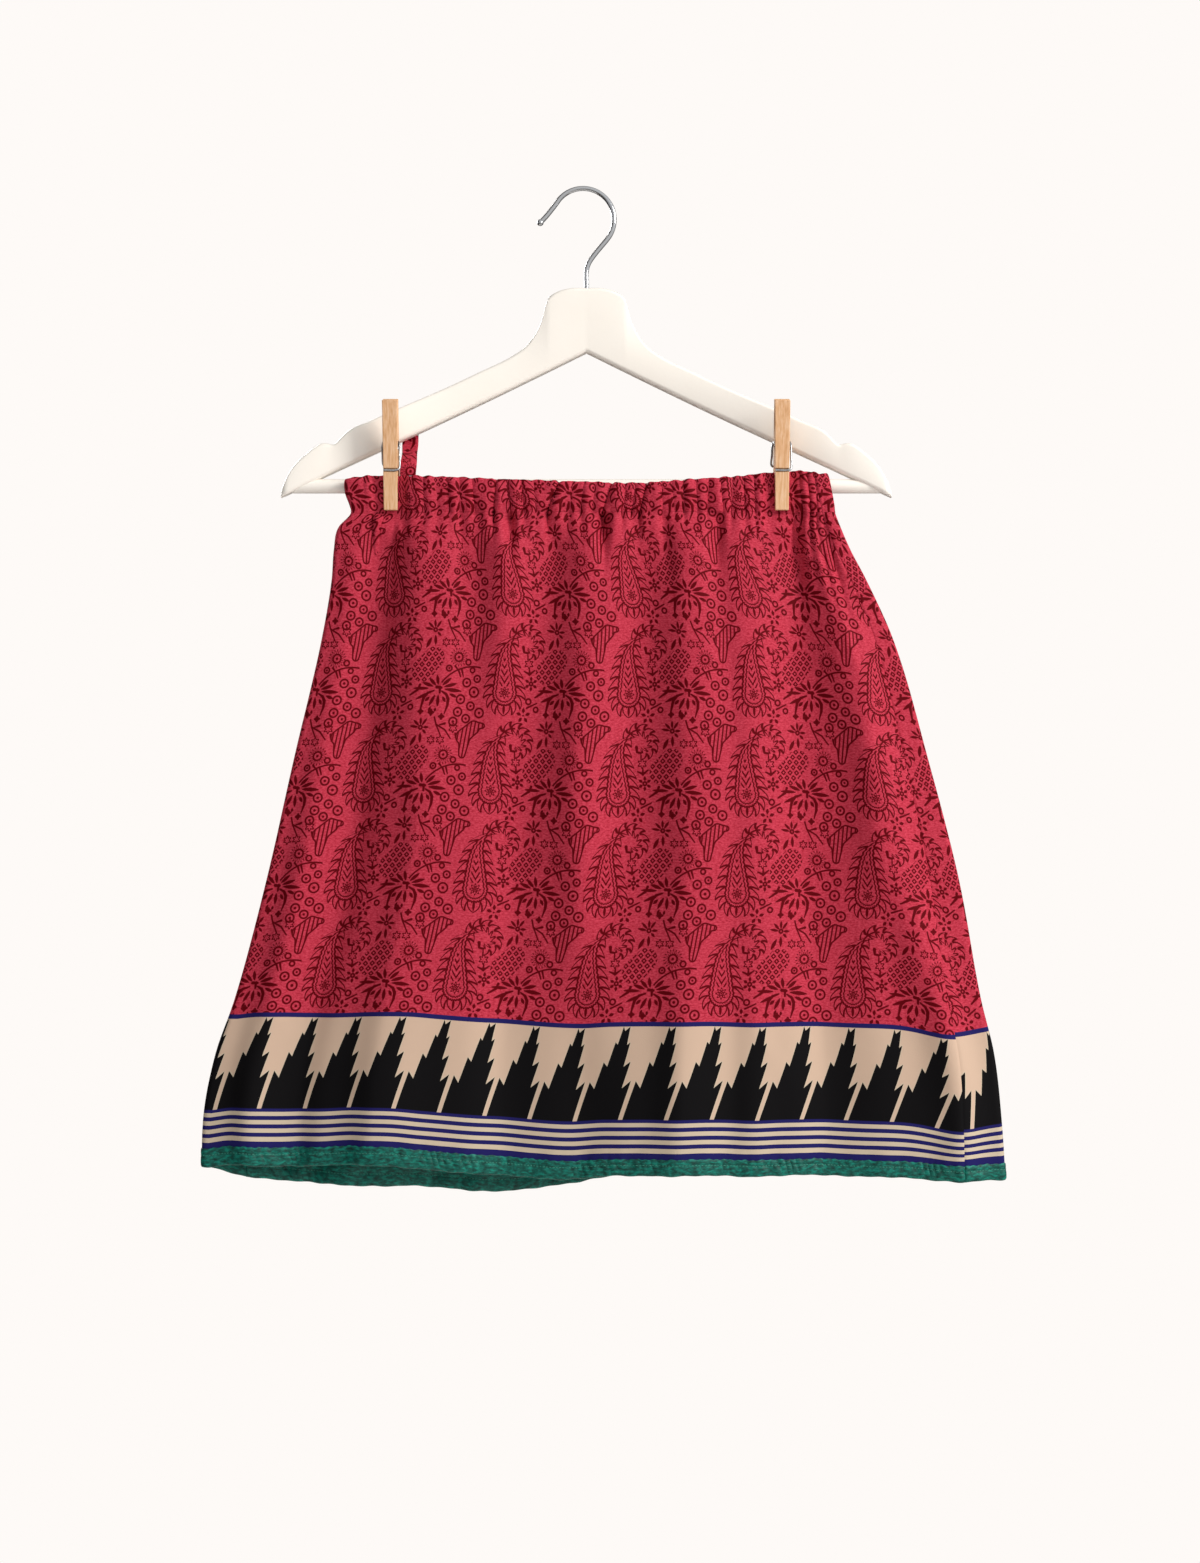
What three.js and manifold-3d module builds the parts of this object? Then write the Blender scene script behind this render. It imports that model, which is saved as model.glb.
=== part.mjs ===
// Knee-length A-line skirt with a gathered elastic waist, held by two wooden clothespins on the bar
// of a contoured wooden hanger. Millimetres, +Z up. The front faces -Y, and +X is to the right of
// someone who looks at the front. The origin is the inside of the hook's top, where a rail or a nail
// carries the hanger.
import * as THREE from 'three';
import { mergeVertices } from 'three/addons/utils/BufferGeometryUtils.js';
import Module from 'manifold-3d';

const wasm = await Module();
wasm.setup();

// ---------------------------------------------------------------------------------------------
// Driving dimensions
// ---------------------------------------------------------------------------------------------

const GAP = 0.3;                    // between neighbouring pieces

// Cloth
const CLOTH_WALL = 1.5;             // printed cloth
const CASING_WALL = 2.2;            // two layers of cloth with the elastic between them
const HEM_WALL = 2.6;               // band turned over the cut edge of the cloth
const GATHER_Z = -232.4;            // stitched line under the casing, where the gathers start
const CASING_MIDDLE_Z = -219;
const HEM_LEVEL = -696;             // general height of the hem
const HEM_BAND = 11.5;              // height of the green band
const SEAM_TURN = { top: 9, hem: 30 };  // the side seams sit this far round from the side folds
const TUBE_FULLNESS = 2.2;          // how long the tube keeps its depth towards the side folds
const FOLDS_CALM = 0.06;            // share of the width beside a side fold where the folds die out
const FOLDS_START = { above: 4, below: 30 };  // the folds grow over this height at the gathers

// The flat tube at each height: where its side folds lie (left, right), how deep it is at its
// middle (front, back), and the depth and radius of the folds themselves (side, fold).
const SECTIONS = [
  { z: -204.0, left: -166.0, right: 170.5, front: -39.6, back: -30.5, side: -33.6, fold: 3.1 },
  { z: -218.0, left: -165.0, right: 173.0, front: -40.0, back: -30.5, side: -33.6, fold: 3.1 },
  { z: -232.4, left: -161.5, right: 176.0, front: -40.6, back: -30.3, side: -33.6, fold: 3.1 },
  { z: -243.0, left: -170.5, right: 180.0, front: -43.0, back: -28.0, side: -33.6, fold: 3.4 },
  { z: -258.0, left: -173.5, right: 186.5, front: -45.0, back: -25.5, side: -33.6, fold: 3.7 },
  { z: -279.0, left: -175.0, right: 197.5, front: -46.5, back: -23.5, side: -33.8, fold: 4.0 },
  { z: -321.0, left: -182.0, right: 216.5, front: -48.0, back: -21.5, side: -34.0, fold: 4.0 },
  { z: -405.0, left: -201.5, right: 241.0, front: -50.0, back: -19.0, side: -34.0, fold: 4.0 },
  { z: -489.0, left: -220.5, right: 262.5, front: -51.5, back: -17.5, side: -34.0, fold: 4.0 },
  { z: -573.0, left: -243.0, right: 278.0, front: -52.5, back: -16.5, side: -34.0, fold: 4.0 },
  { z: -610.0, left: -256.0, right: 287.0, front: -53.0, back: -16.0, side: -34.0, fold: 4.0 },
  { z: -653.0, left: -264.5, right: 292.0, front: -53.5, back: -15.5, side: -34.0, fold: 4.0 },
  { z: -706.0, left: -265.5, right: 295.5, front: -54.0, back: -15.0, side: -34.0, fold: 4.0 },
];

// Height of the casing's top edge across the skirt, which sags a little between the clothespins.
const WAIST_TOP = [
  { x: -166, z: -209.0 }, { x: -145, z: -206.6 }, { x: -100, z: -207.5 }, { x: -50, z: -209.6 },
  { x: 0, z: -211.2 }, { x: 38, z: -212.1 }, { x: 80, z: -209.3 }, { x: 115, z: -206.8 },
  { x: 135, z: -204.2 }, { x: 156, z: -203.0 }, { x: 171, z: -205.4 },
];

// Height of the hem from the left fold (across 0) to the right fold (across 1). The back hangs
// lower than the front on its left half.
const HEM_FRONT = [
  { across: 0, z: -689.5 }, { across: 0.03, z: -686.4 }, { across: 0.1, z: -687.4 },
  { across: 0.19, z: -688.2 }, { across: 0.27, z: -690.9 }, { across: 0.36, z: -694.4 },
  { across: 0.46, z: -697.9 }, { across: 0.56, z: -696.4 }, { across: 0.7, z: -695.4 },
  { across: 0.86, z: -696.6 }, { across: 0.93, z: -697.9 }, { across: 1, z: -697.9 },
];
const HEM_BACK = [
  { across: 0, z: -689.5 }, { across: 0.035, z: -694.4 }, { across: 0.1, z: -700.0 },
  { across: 0.22, z: -700.3 }, { across: 0.3, z: -702.6 }, { across: 0.38, z: -705.4 },
  { across: 0.44, z: -702.6 }, { across: 0.52, z: -697.2 }, { across: 0.7, z: -694.0 },
  { across: 0.9, z: -695.5 }, { across: 1, z: -697.9 },
];

// The largest folds. A fold's middle runs down through x = top, middle and low at FOLD_LEVELS. It
// stands out of the cloth by rise at those heights, or sinks in where rise is negative, and fades
// out over the widths to its left and right.
const FOLD_LEVELS = { top: -258, middle: -430, low: -660 };
const FRONT_FOLDS = [
  { top: -166, middle: -196, low: -238, rise: [2.0, 3.0, 4.5], width: [14, 20] },
  { top: -134, middle: -146, low: -200, rise: [-7.0, -7.5, -4.0], width: [17, 11] },
  { top: -113, middle: -112, low: -146, rise: [4.5, 6.0, 7.0], width: [17, 30] },
  { top: -77, middle: -80, low: -92, rise: [-4.5, -1.0, 0.0], width: [16, 14] },
  { top: -54, middle: -56, low: -60, rise: [4.5, 0.5, 0.0], width: [14, 18] },
  { top: -20, middle: -40, low: -52, rise: [-5.0, -5.0, -5.5], width: [16, 24] },
  { top: 0, middle: -4, low: 0, rise: [4.0, 5.5, 1.0], width: [15, 20] },
  { top: 46, middle: 40, low: 26, rise: [-4.5, -5.0, -1.0], width: [18, 18] },
  { top: 72, middle: 75, low: 70, rise: [5.0, 7.0, 8.0], width: [18, 34] },
  { top: 101, middle: 118, low: 128, rise: [-2.5, -0.5, 0.0], width: [14, 14] },
  { top: 147, middle: 172, low: 196, rise: [-6.0, -6.5, -5.5], width: [24, 13] },
  { top: 162, middle: 199, low: 252, rise: [4.0, 6.5, 7.0], width: [12, 20] },
];
const BACK_FOLDS = [
  { top: -146, middle: -170, low: -206, rise: [3.0, 4.0, 5.0], width: [16, 22] },
  { top: -118, middle: -132, low: -164, rise: [-5.0, -6.0, -5.0], width: [18, 14] },
  { top: -92, middle: -102, low: -118, rise: [4.5, 6.0, 6.5], width: [16, 26] },
  { top: -48, middle: -58, low: -66, rise: [-4.5, -4.0, -4.5], width: [18, 20] },
  { top: -16, middle: -14, low: -24, rise: [4.5, 5.5, 6.0], width: [16, 22] },
  { top: 30, middle: 26, low: 22, rise: [-4.0, -5.0, -4.0], width: [20, 18] },
  { top: 60, middle: 72, low: 84, rise: [4.0, 5.0, 6.5], width: [18, 26] },
  { top: 112, middle: 128, low: 142, rise: [-5.5, -5.5, -4.5], width: [22, 16] },
  { top: 146, middle: 174, low: 204, rise: [4.0, 5.5, 6.0], width: [16, 24] },
];

// Gathers of the elastic casing: three trains of small waves along the waist. The back's are flatter,
// because it lies against the bar, and under a clothespin the front is pressed flat at PRESS.y.
const GATHERS = [
  { length: 21.0, height: 0.55, start: 0.4 },
  { length: 13.4, height: 0.50, start: 2.1 },
  { length: 34.0, height: 0.45, start: 1.2 },
];
const BACK_GATHER = 0.6;
const PRESS = { y: -33.0, width: 12.5 };

// Hanger
const HANGER_X = 2.5;               // its middle, beside the point that the hook hangs from
const ARM_THICKNESS = 13;
const ARM_SWEEP = 25;               // how far the tips come forward of the head
const SWEEP_END = 216;              // distance out where the sweep is complete
const ARM_EDGE = 2.2;               // chamfer along the arms' edges
const UNDERSIDE_Z = -115.3;         // lower edge at the middle
const UNDERSIDE_FALL = 0.495;       // and its fall for each millimetre out along the arm
// Upper edge from the middle of the head out to a tip, with the notch for a strap
const UPPER_EDGE = [
  { out: 0, z: -69.8 }, { out: 11, z: -69.9 }, { out: 19, z: -71.8 }, { out: 25, z: -75.0 },
  { out: 27.5, z: -77.6 }, { out: 29, z: -82.0 }, { out: 31, z: -90.0 }, { out: 34.5, z: -99.0 },
  { out: 41, z: -109.0 }, { out: 52, z: -117.8 }, { out: 76, z: -130.0 }, { out: 101, z: -142.3 },
  { out: 133, z: -157.1 }, { out: 153, z: -166.8 }, { out: 166, z: -173.0 }, { out: 171, z: -177.4 },
  { out: 175, z: -182.0 }, { out: 178, z: -183.8 }, { out: 181.5, z: -183.0 },
  { out: 186, z: -183.2 }, { out: 196, z: -190.2 }, { out: 205, z: -199.2 }, { out: 210, z: -207.4 },
  { out: 213, z: -214.0 }, { out: 214, z: -218.6 },
];
const BAR = { y: -24, z: -213, radius: 5, reach: 206 };

// Hook: one bent steel rod with a small bead at its end. It is round from one angle of its bend to
// the other, straight above the head, and runs out in a short lip.
const HOOK = { wire: 1.75, bend: 22.2, from: -38, to: 150, shank: 22, bead: 2.4 };
const HOOK_NECK = [{ x: 2.5, z: -66.0 }, { x: 2.5, z: -57.0 }, { x: 4.1, z: -51.5 }, { x: 8.5, z: -45.0 }];
const HOOK_LIP = [{ x: -23.6, z: -15.0 }, { x: -26.6, z: -18.6 }, { x: -29.6, z: -21.8 }];
const HOOK_BEAD = { x: -30.4, z: -22.6 };

// Clothespins. A leg's profile is drawn closed: depth is measured out from the plane where the two
// legs meet, and height from the middle of the spring's coil. The handle's inner face starts on the
// coil's seat, at the angle `relief` (in radians) from upright, so that the legs can turn.
const PINS = [{ name: 'left', x: -133.9 }, { name: 'right', x: 138.9 }];
const PIN = {
  y: -34.1, z: -186.5,              // middle of the coil
  top: 31, jaw: -44.6,              // the ends of a leg
  widthTop: 10.8, widthJaw: 9.4,
  open: 26,                         // degrees that the back leg has turned to pass the bar
  coil: 4.0, wire: 0.8, turns: 3.5, side: 6.3,  // the spring, and how far out its arms run
  across: 4.6,                      // how far its wire lies straight across a leg
};
const LEG = {
  meet: 0.3, handleInner: 8, handleOuter: 12, waistOuter: 8, jawOuter: 4.3,
  coilSeat: 4.4, relief: 0.3, notch: { depth: -2.5, height: -28.3, radius: 5.3 },
  groove: { height: -17, width: 2.4, floor: 5.4, mouth: 6.7 },
};

// Tie: a strip of the printed cloth that rises from the waist and is tucked behind the left arm
const TIE = { left: -128.0, right: -116.8, wall: 1.5 };
const TIE_ROUTE = [
  { y: -30.5, z: -206.3 }, { y: -30.2, z: -203.2 }, { y: -26.0, z: -197.0 }, { y: -17.5, z: -190.8 },
  { y: -8.5, z: -185.5 }, { y: -3.6, z: -180.5 }, { y: -1.9, z: -174.0 }, { y: -1.7, z: -158.5 },
];

// ---------------------------------------------------------------------------------------------
// Materials
// ---------------------------------------------------------------------------------------------

function finish(color, roughness, metalness = 0) {
  return new THREE.MeshStandardMaterial({ color, roughness, metalness });
}
const printedCloth = () => finish(0xb23350, 0.6);
const hemCloth = () => finish(0x0f6e5a, 0.55);
const paintedWood = () => finish(0xece7dc, 0.45);
const bareWood = () => finish(0xd9ae80, 0.7);
const chromedSteel = () => finish(0xc9ccd0, 0.15, 1);

// ---------------------------------------------------------------------------------------------
// Curves through tables
// ---------------------------------------------------------------------------------------------

// Smooth value of one column of a table at a place given in another column
function column(rows, place, at, value) {
  const rising = rows[rows.length - 1][place] > rows[0][place];
  const passed = (row) => (rising ? row[place] <= at : row[place] >= at);
  let i = 0;
  while (i < rows.length - 2 && passed(rows[i + 1])) i += 1;
  const slope = (a, b) => (b[value] - a[value]) / (b[place] - a[place]);
  const [a, b] = [rows[i], rows[i + 1]];
  const span = b[place] - a[place];
  const u = THREE.MathUtils.clamp((at - a[place]) / span, 0, 1);
  const here = slope(a, b);
  const before = i > 0 ? (slope(rows[i - 1], a) + here) / 2 : here;
  const after = i < rows.length - 2 ? (here + slope(b, rows[i + 2])) / 2 : here;
  const bend = (before + after) * span - 2 * (b[value] - a[value]);
  const lift = 3 * (b[value] - a[value]) - (2 * before + after) * span;
  return a[value] + before * span * u + lift * u * u + bend * u * u * u;
}

function section(z, value) {
  return column(SECTIONS, 'z', z, value);
}

// ---------------------------------------------------------------------------------------------
// The hanging cloth
// ---------------------------------------------------------------------------------------------

// Value at height z of something known at the three fold levels
function atLevel(z, top, middle, low) {
  const { smoothstep, lerp } = THREE.MathUtils;
  if (z > FOLD_LEVELS.middle) {
    return lerp(top, middle, (FOLD_LEVELS.top - z) / (FOLD_LEVELS.top - FOLD_LEVELS.middle));
  }
  return lerp(middle, low, smoothstep(-z, -FOLD_LEVELS.middle, -FOLD_LEVELS.low));
}

// How far the folds of one layer stand out at a point
function foldRise(folds, x, z) {
  const start = THREE.MathUtils.smoothstep(GATHER_Z - z, -FOLDS_START.above, FOLDS_START.below);
  return start * folds.reduce((sum, fold) => {
    const away = x - atLevel(z, fold.top, fold.middle, fold.low);
    const width = fold.width[away < 0 ? 0 : 1];
    return sum + atLevel(z, ...fold.rise) * Math.exp(-((away / width) ** 2));
  }, 0);
}

// How firmly a clothespin presses the casing at x: 1 under a pin, 0 away from both
function pressed(x) {
  return Math.max(...PINS.map((pin) => Math.exp(-(((x - pin.x) / PRESS.width) ** 6))));
}

// Middle of the cloth wall at height z. A place is on the layer 'front' or 'back', and either on its
// flat, a share of the way across from the left (0) to the right (1), or on the way round a side
// fold, where turned runs from 0 at the outermost point to 1 where the flat begins.
function clothPoint({ layer, across, corner, turned }, z) {
  const [left, right, fold, side] = ['left', 'right', 'fold', 'side'].map((name) => section(z, name));
  const away = layer === 'front' ? -1 : 1;
  const turn = (corner ? turned : 1) * (Math.PI / 2);
  const inward = fold * (1 - Math.cos(turn));
  let x = corner === 'right' ? right - inward : left + inward;
  if (!corner) x += across * (right - left - 2 * fold);
  const bulge = 1 - Math.abs(2 * across - 1) ** TUBE_FULLNESS;
  let y = side + away * fold * Math.sin(turn);
  y += (section(z, layer) - side - away * fold) * bulge;
  const ease = THREE.MathUtils.smoothstep(Math.min(across, 1 - across), 0, FOLDS_CALM);
  y += away * ease * foldRise(layer === 'front' ? FRONT_FOLDS : BACK_FOLDS, x, z);
  if (z >= GATHER_Z - 1) {
    const wave = GATHERS.reduce(
      (sum, g) => sum + g.height * Math.sin((2 * Math.PI * x) / g.length + g.start + away), 0);
    const hold = pressed(x);
    if (layer === 'front') y += ease * (1 - hold) * wave + hold * (PRESS.y - y);
    else y -= ease * (1 - hold) * Math.max(wave, 0) * BACK_GATHER;
  }
  return new THREE.Vector3(x, y, z);
}

// A wall of the given thickness through the rows of places, each place with its own height. The
// wall is set off level to both sides, so that its upper and lower edges stay where they are.
function clothWall(rows, thickness) {
  const skins = rows.map((row) => row.map((here, i) => {
    const middle = clothPoint(here, here.z);
    const next = row[Math.min(i + 1, row.length - 1)];
    const last = row[Math.max(i - 1, 0)];
    const nudged = (other, sign) => {
      const near = clothPoint(other, here.z);
      return near.sub(middle).normalize().multiplyScalar(sign);
    };
    const along = new THREE.Vector3();
    if (next !== row[i]) along.add(nudged(next, 1));
    if (last !== row[i]) along.add(nudged(last, -1));
    along.normalize();
    const out = new THREE.Vector3(along.y, -along.x, 0).multiplyScalar(thickness / 2);
    return { outer: middle.clone().add(out), inner: middle.clone().sub(out) };
  }));
  return closedSheet(skins);
}

// Closed body between an outer and an inner grid of points. Rows run down, and a row runs so that
// the outer side is on the right hand.
function closedSheet(skins) {
  const [rows, columns] = [skins.length, skins[0].length];
  const positions = [];
  skins.forEach((row) => row.forEach(({ outer, inner }) => {
    positions.push(...outer.toArray(), ...inner.toArray());
  }));
  const at = (row, col, skin) => 2 * (row * columns + col) + skin;
  const index = [];
  const quad = (a, b, c, d) => index.push(a, b, c, a, c, d);
  for (let r = 0; r < rows - 1; r += 1) {
    for (let c = 0; c < columns - 1; c += 1) {
      quad(at(r, c, 0), at(r + 1, c, 0), at(r + 1, c + 1, 0), at(r, c + 1, 0));
      quad(at(r, c, 1), at(r, c + 1, 1), at(r + 1, c + 1, 1), at(r + 1, c, 1));
    }
    const end = columns - 1;
    quad(at(r, 0, 1), at(r + 1, 0, 1), at(r + 1, 0, 0), at(r, 0, 0));
    quad(at(r, end, 0), at(r + 1, end, 0), at(r + 1, end, 1), at(r, end, 1));
  }
  for (let c = 0; c < columns - 1; c += 1) {
    const end = rows - 1;
    quad(at(0, c, 1), at(0, c, 0), at(0, c + 1, 0), at(0, c + 1, 1));
    quad(at(end, c, 0), at(end, c, 1), at(end, c + 1, 1), at(end, c + 1, 0));
  }
  const geometry = new THREE.BufferGeometry();
  geometry.setAttribute('position', new THREE.Float32BufferAttribute(positions, 3));
  geometry.setIndex(index);
  return geometry;
}

// Numbers from first to last in equal steps
function spread(first, last, count) {
  return Array.from({ length: count + 1 }, (_, i) => THREE.MathUtils.lerp(first, last, i / count));
}

// Places round half the tube, from one side seam to the other, the tube `width` wide and its side
// folds of radius `fold`. The front half starts behind the left fold and ends short of the right
// one, and the back half the other way round, because the whole tube has turned by `turn`.
function halfRound(layer, { width, fold, turn }, flats) {
  const other = layer === 'front' ? 'back' : 'front';
  const start = layer === 'front' ? 'left' : 'right';
  const flat = width - 2 * fold;
  const onFlat = (side, distance) => {
    const share = (distance - fold) / flat;
    return { layer: side, across: start === 'left' ? share : 1 - share };
  };
  const onCorner = (side, turned) => (
    { layer: side, corner: start, turned, across: start === 'left' ? 0 : 1 });
  return [
    ...spread(turn - GAP / 2, fold, 2).map((distance) => onFlat(other, distance)),
    ...[2 / 3, 1 / 3, 0].map((turned) => onCorner(other, turned)),
    ...[1 / 3, 2 / 3].map((turned) => onCorner(layer, turned)),
    ...flats(fold, width - turn - GAP / 2, start).map((distance) => onFlat(layer, distance)),
  ];
}

// Width, folds and turn of the tube at a height
function tubeAt(z) {
  const turns = [{ z: GATHER_Z, turn: SEAM_TURN.top }, { z: HEM_LEVEL, turn: SEAM_TURN.hem }];
  return {
    width: section(z, 'right') - section(z, 'left'),
    fold: section(z, 'fold'),
    turn: column(turns, 'z', z, 'turn'),
  };
}

// Height of the hem's edge at a place
function hemHeight({ layer, across }) {
  return column(layer === 'front' ? HEM_FRONT : HEM_BACK, 'across', across, 'z');
}

// How finely the cloth is divided: the stations across half the tube, and the rows of a panel and of
// the casing from their upper edge (0) to their lower one (1)
const COLUMNS = 32;
const CASING_COLUMNS = 46;
const PANEL_ROWS = [0, 0.012, 0.03, 0.06, 0.11, 0.18, 0.27, 0.37, 0.48, 0.59, 0.7, 0.8, 0.9, 1];
const CASING_ROWS = [0, 0.25, 0.6, 1];
const PIN_STATIONS = [-15, -9.5, -5.6, 5.6, 9.5, 15];  // round the middle of each clothespin

// Distances across the flat of a panel
const evenly = (count) => (first, last) => spread(first, last, count);

// The same for the casing, with stations set at both edges of each clothespin
function pastPins(first, last, start) {
  const edge = section(CASING_MIDDLE_Z, start);
  const inward = start === 'left' ? 1 : -1;
  const marks = PINS.flatMap((pin) => PIN_STATIONS.map((d) => pin.x + d));
  const near = marks.map((x) => (x - edge) * inward).filter((d) => d > first + 2 && d < last - 2);
  const apart = (0.6 * (last - first)) / CASING_COLUMNS;
  const plain = spread(first, last, CASING_COLUMNS)
    .filter((d) => near.every((n) => Math.abs(n - d) > apart));
  return [...new Set([first, ...plain, ...near, last])].sort((a, b) => a - b);
}

// Panel: from the gathers down to the hem band
function panel(layer) {
  const columns = evenly(COLUMNS);
  const rows = PANEL_ROWS.map((share) => {
    const level = THREE.MathUtils.lerp(GATHER_Z, HEM_LEVEL, share);
    return halfRound(layer, tubeAt(level), columns).map((place) => {
      const foot = hemHeight(place) + HEM_BAND + GAP;
      return { ...place, z: THREE.MathUtils.lerp(GATHER_Z, foot, share) };
    });
  });
  return clothWall(rows, CLOTH_WALL);
}

// Hem band: a turned strip under the panel
function hemBand(layer) {
  const round = halfRound(layer, tubeAt(HEM_LEVEL), evenly(COLUMNS));
  const rows = [HEM_BAND, 0].map((above) => (
    round.map((place) => ({ ...place, z: hemHeight(place) + above }))));
  return clothWall(rows, HEM_WALL);
}

// Waist casing: the doubled top of the panel with the elastic in it
function casing(layer) {
  const round = halfRound(layer, tubeAt(CASING_MIDDLE_Z), pastPins);
  const rows = CASING_ROWS.map((share) => round.map((place) => {
    const { x } = clothPoint(place, CASING_MIDDLE_Z);
    const top = column(WAIST_TOP, 'x', x, 'z');
    return { ...place, z: THREE.MathUtils.lerp(top, GATHER_Z + GAP, share) };
  }));
  return clothWall(rows, CASING_WALL);
}

// Tie: a flat strip along its route
function tie() {
  const route = new THREE.CatmullRomCurve3(TIE_ROUTE.map(({ y, z }) => new THREE.Vector3(0, y, z)));
  const skins = spread(1, 0, 14).map((u) => {
    const middle = route.getPoint(u);
    const along = route.getTangent(u);
    const out = new THREE.Vector3(0, -along.z, along.y).multiplyScalar(TIE.wall / 2);
    return [TIE.left, TIE.right].map((x) => ({
      outer: middle.clone().setX(x).add(out),
      inner: middle.clone().setX(x).sub(out),
    }));
  });
  return closedSheet(skins);
}

// ---------------------------------------------------------------------------------------------
// Joining and cutting
// ---------------------------------------------------------------------------------------------

function toSolid(geometry) {
  const bare = geometry.clone();
  bare.deleteAttribute('normal');
  bare.deleteAttribute('uv');
  const merged = mergeVertices(bare, 1e-3);
  return new wasm.Manifold(new wasm.Mesh({
    numProp: 3,
    vertProperties: new Float32Array(merged.attributes.position.array),
    triVerts: new Uint32Array(merged.index.array),
  }));
}

function toGeometry(solid) {
  const mesh = solid.getMesh();
  const geometry = new THREE.BufferGeometry();
  geometry.setAttribute('position', new THREE.Float32BufferAttribute(mesh.vertProperties, 3));
  geometry.setIndex(Array.from(mesh.triVerts));
  return geometry;
}

// Round rod along a route of points
function rod(points, radius, sides, steps) {
  const outline = new THREE.Shape(spread(0, 2 * Math.PI, sides).slice(0, -1)
    .map((a) => new THREE.Vector2(radius * Math.cos(a), radius * Math.sin(a))));
  const extrudePath = new THREE.CatmullRomCurve3(points, false, 'centripetal');
  return new THREE.ExtrudeGeometry(outline, { steps, bevelEnabled: false, extrudePath });
}

// Round bar along X
function barAlongX(radius, half, sides) {
  const bar = new THREE.CylinderGeometry(radius, radius, 2 * half, sides);
  bar.rotateZ(Math.PI / 2);
  bar.translate(HANGER_X, BAR.y, BAR.z);
  return bar;
}

// ---------------------------------------------------------------------------------------------
// Hanger
// ---------------------------------------------------------------------------------------------

// The arms sweep forward from the head to their tips, slowly at first and level again at the tips
function armDepth(out) {
  const swing = Math.PI * (out / SWEEP_END) ** 1.5;
  return (-ARM_SWEEP * (1 - Math.cos(swing))) / 2;
}

// The wooden body, lofted from tip to tip through eight-cornered sections
function hangerBody() {
  const between = [64, 88, 117];    // further sections along the straight of an arm
  const outs = UPPER_EDGE.map((row) => row.out).concat(between).sort((a, b) => a - b);
  const stations = [...outs.slice(1).reverse().map((out) => -out), ...outs];
  const half = ARM_THICKNESS / 2;
  const positions = [];
  stations.forEach((station) => {
    const out = Math.abs(station);
    const upper = column(UPPER_EDGE, 'out', out, 'z');
    const lower = UNDERSIDE_Z - UNDERSIDE_FALL * out;
    const edge = Math.min(ARM_EDGE, (upper - lower) / 3);
    const y = armDepth(out);
    const corners = [
      [-half, lower + edge], [edge - half, lower], [half - edge, lower], [half, lower + edge],
      [half, upper - edge], [half - edge, upper], [edge - half, upper], [-half, upper - edge],
    ];
    corners.forEach(([dy, z]) => positions.push(HANGER_X + station, y + dy, z));
  });
  const index = [];
  const ring = 8;
  for (let s = 0; s < stations.length - 1; s += 1) {
    for (let k = 0; k < ring; k += 1) {
      const [a, b] = [s * ring + k, s * ring + ((k + 1) % ring)];
      index.push(a, b + ring, a + ring, a, b, b + ring);
    }
  }
  const last = (stations.length - 1) * ring;
  for (let k = 1; k < ring - 1; k += 1) {
    index.push(0, k + 1, k);
    index.push(last, last + k, last + k + 1);
  }
  const body = new THREE.BufferGeometry();
  body.setAttribute('position', new THREE.Float32BufferAttribute(positions, 3));
  body.setIndex(index);
  const socket = barAlongX(BAR.radius + GAP, BAR.reach + GAP, 20);
  const bore = new THREE.CylinderGeometry(HOOK.wire + GAP, HOOK.wire + GAP, HOOK.shank, 12);
  bore.rotateX(Math.PI / 2);
  bore.translate(HANGER_X, 0, UPPER_EDGE[0].z - HOOK.shank / 2 + 1);
  return toGeometry(toSolid(body).subtract(toSolid(socket)).subtract(toSolid(bore)));
}

// The hook's route: shank up out of the head, out to the right, and over the top to the bead
function hook() {
  const middle = -HOOK.bend + HOOK.wire;
  const onBend = (degrees) => {
    const a = THREE.MathUtils.degToRad(degrees);
    return new THREE.Vector3(HOOK.bend * Math.cos(a), 0, middle + HOOK.bend * Math.sin(a));
  };
  const at = ({ x, z }) => new THREE.Vector3(x, 0, z);
  const foot = UPPER_EDGE[0].z - HOOK.shank + 1 + 2 * GAP;
  const route = [
    new THREE.Vector3(HANGER_X, 0, foot), ...HOOK_NECK.map(at),
    ...spread(HOOK.from, HOOK.to, 15).map(onBend), ...HOOK_LIP.map(at),
  ];
  const bead = new THREE.SphereGeometry(HOOK.bead, 10, 7);
  bead.translate(HOOK_BEAD.x, 0, HOOK_BEAD.z);
  return toGeometry(toSolid(rod(route, HOOK.wire, 10, 52)).add(toSolid(bead)));
}

// ---------------------------------------------------------------------------------------------
// Clothespins
// ---------------------------------------------------------------------------------------------

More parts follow.
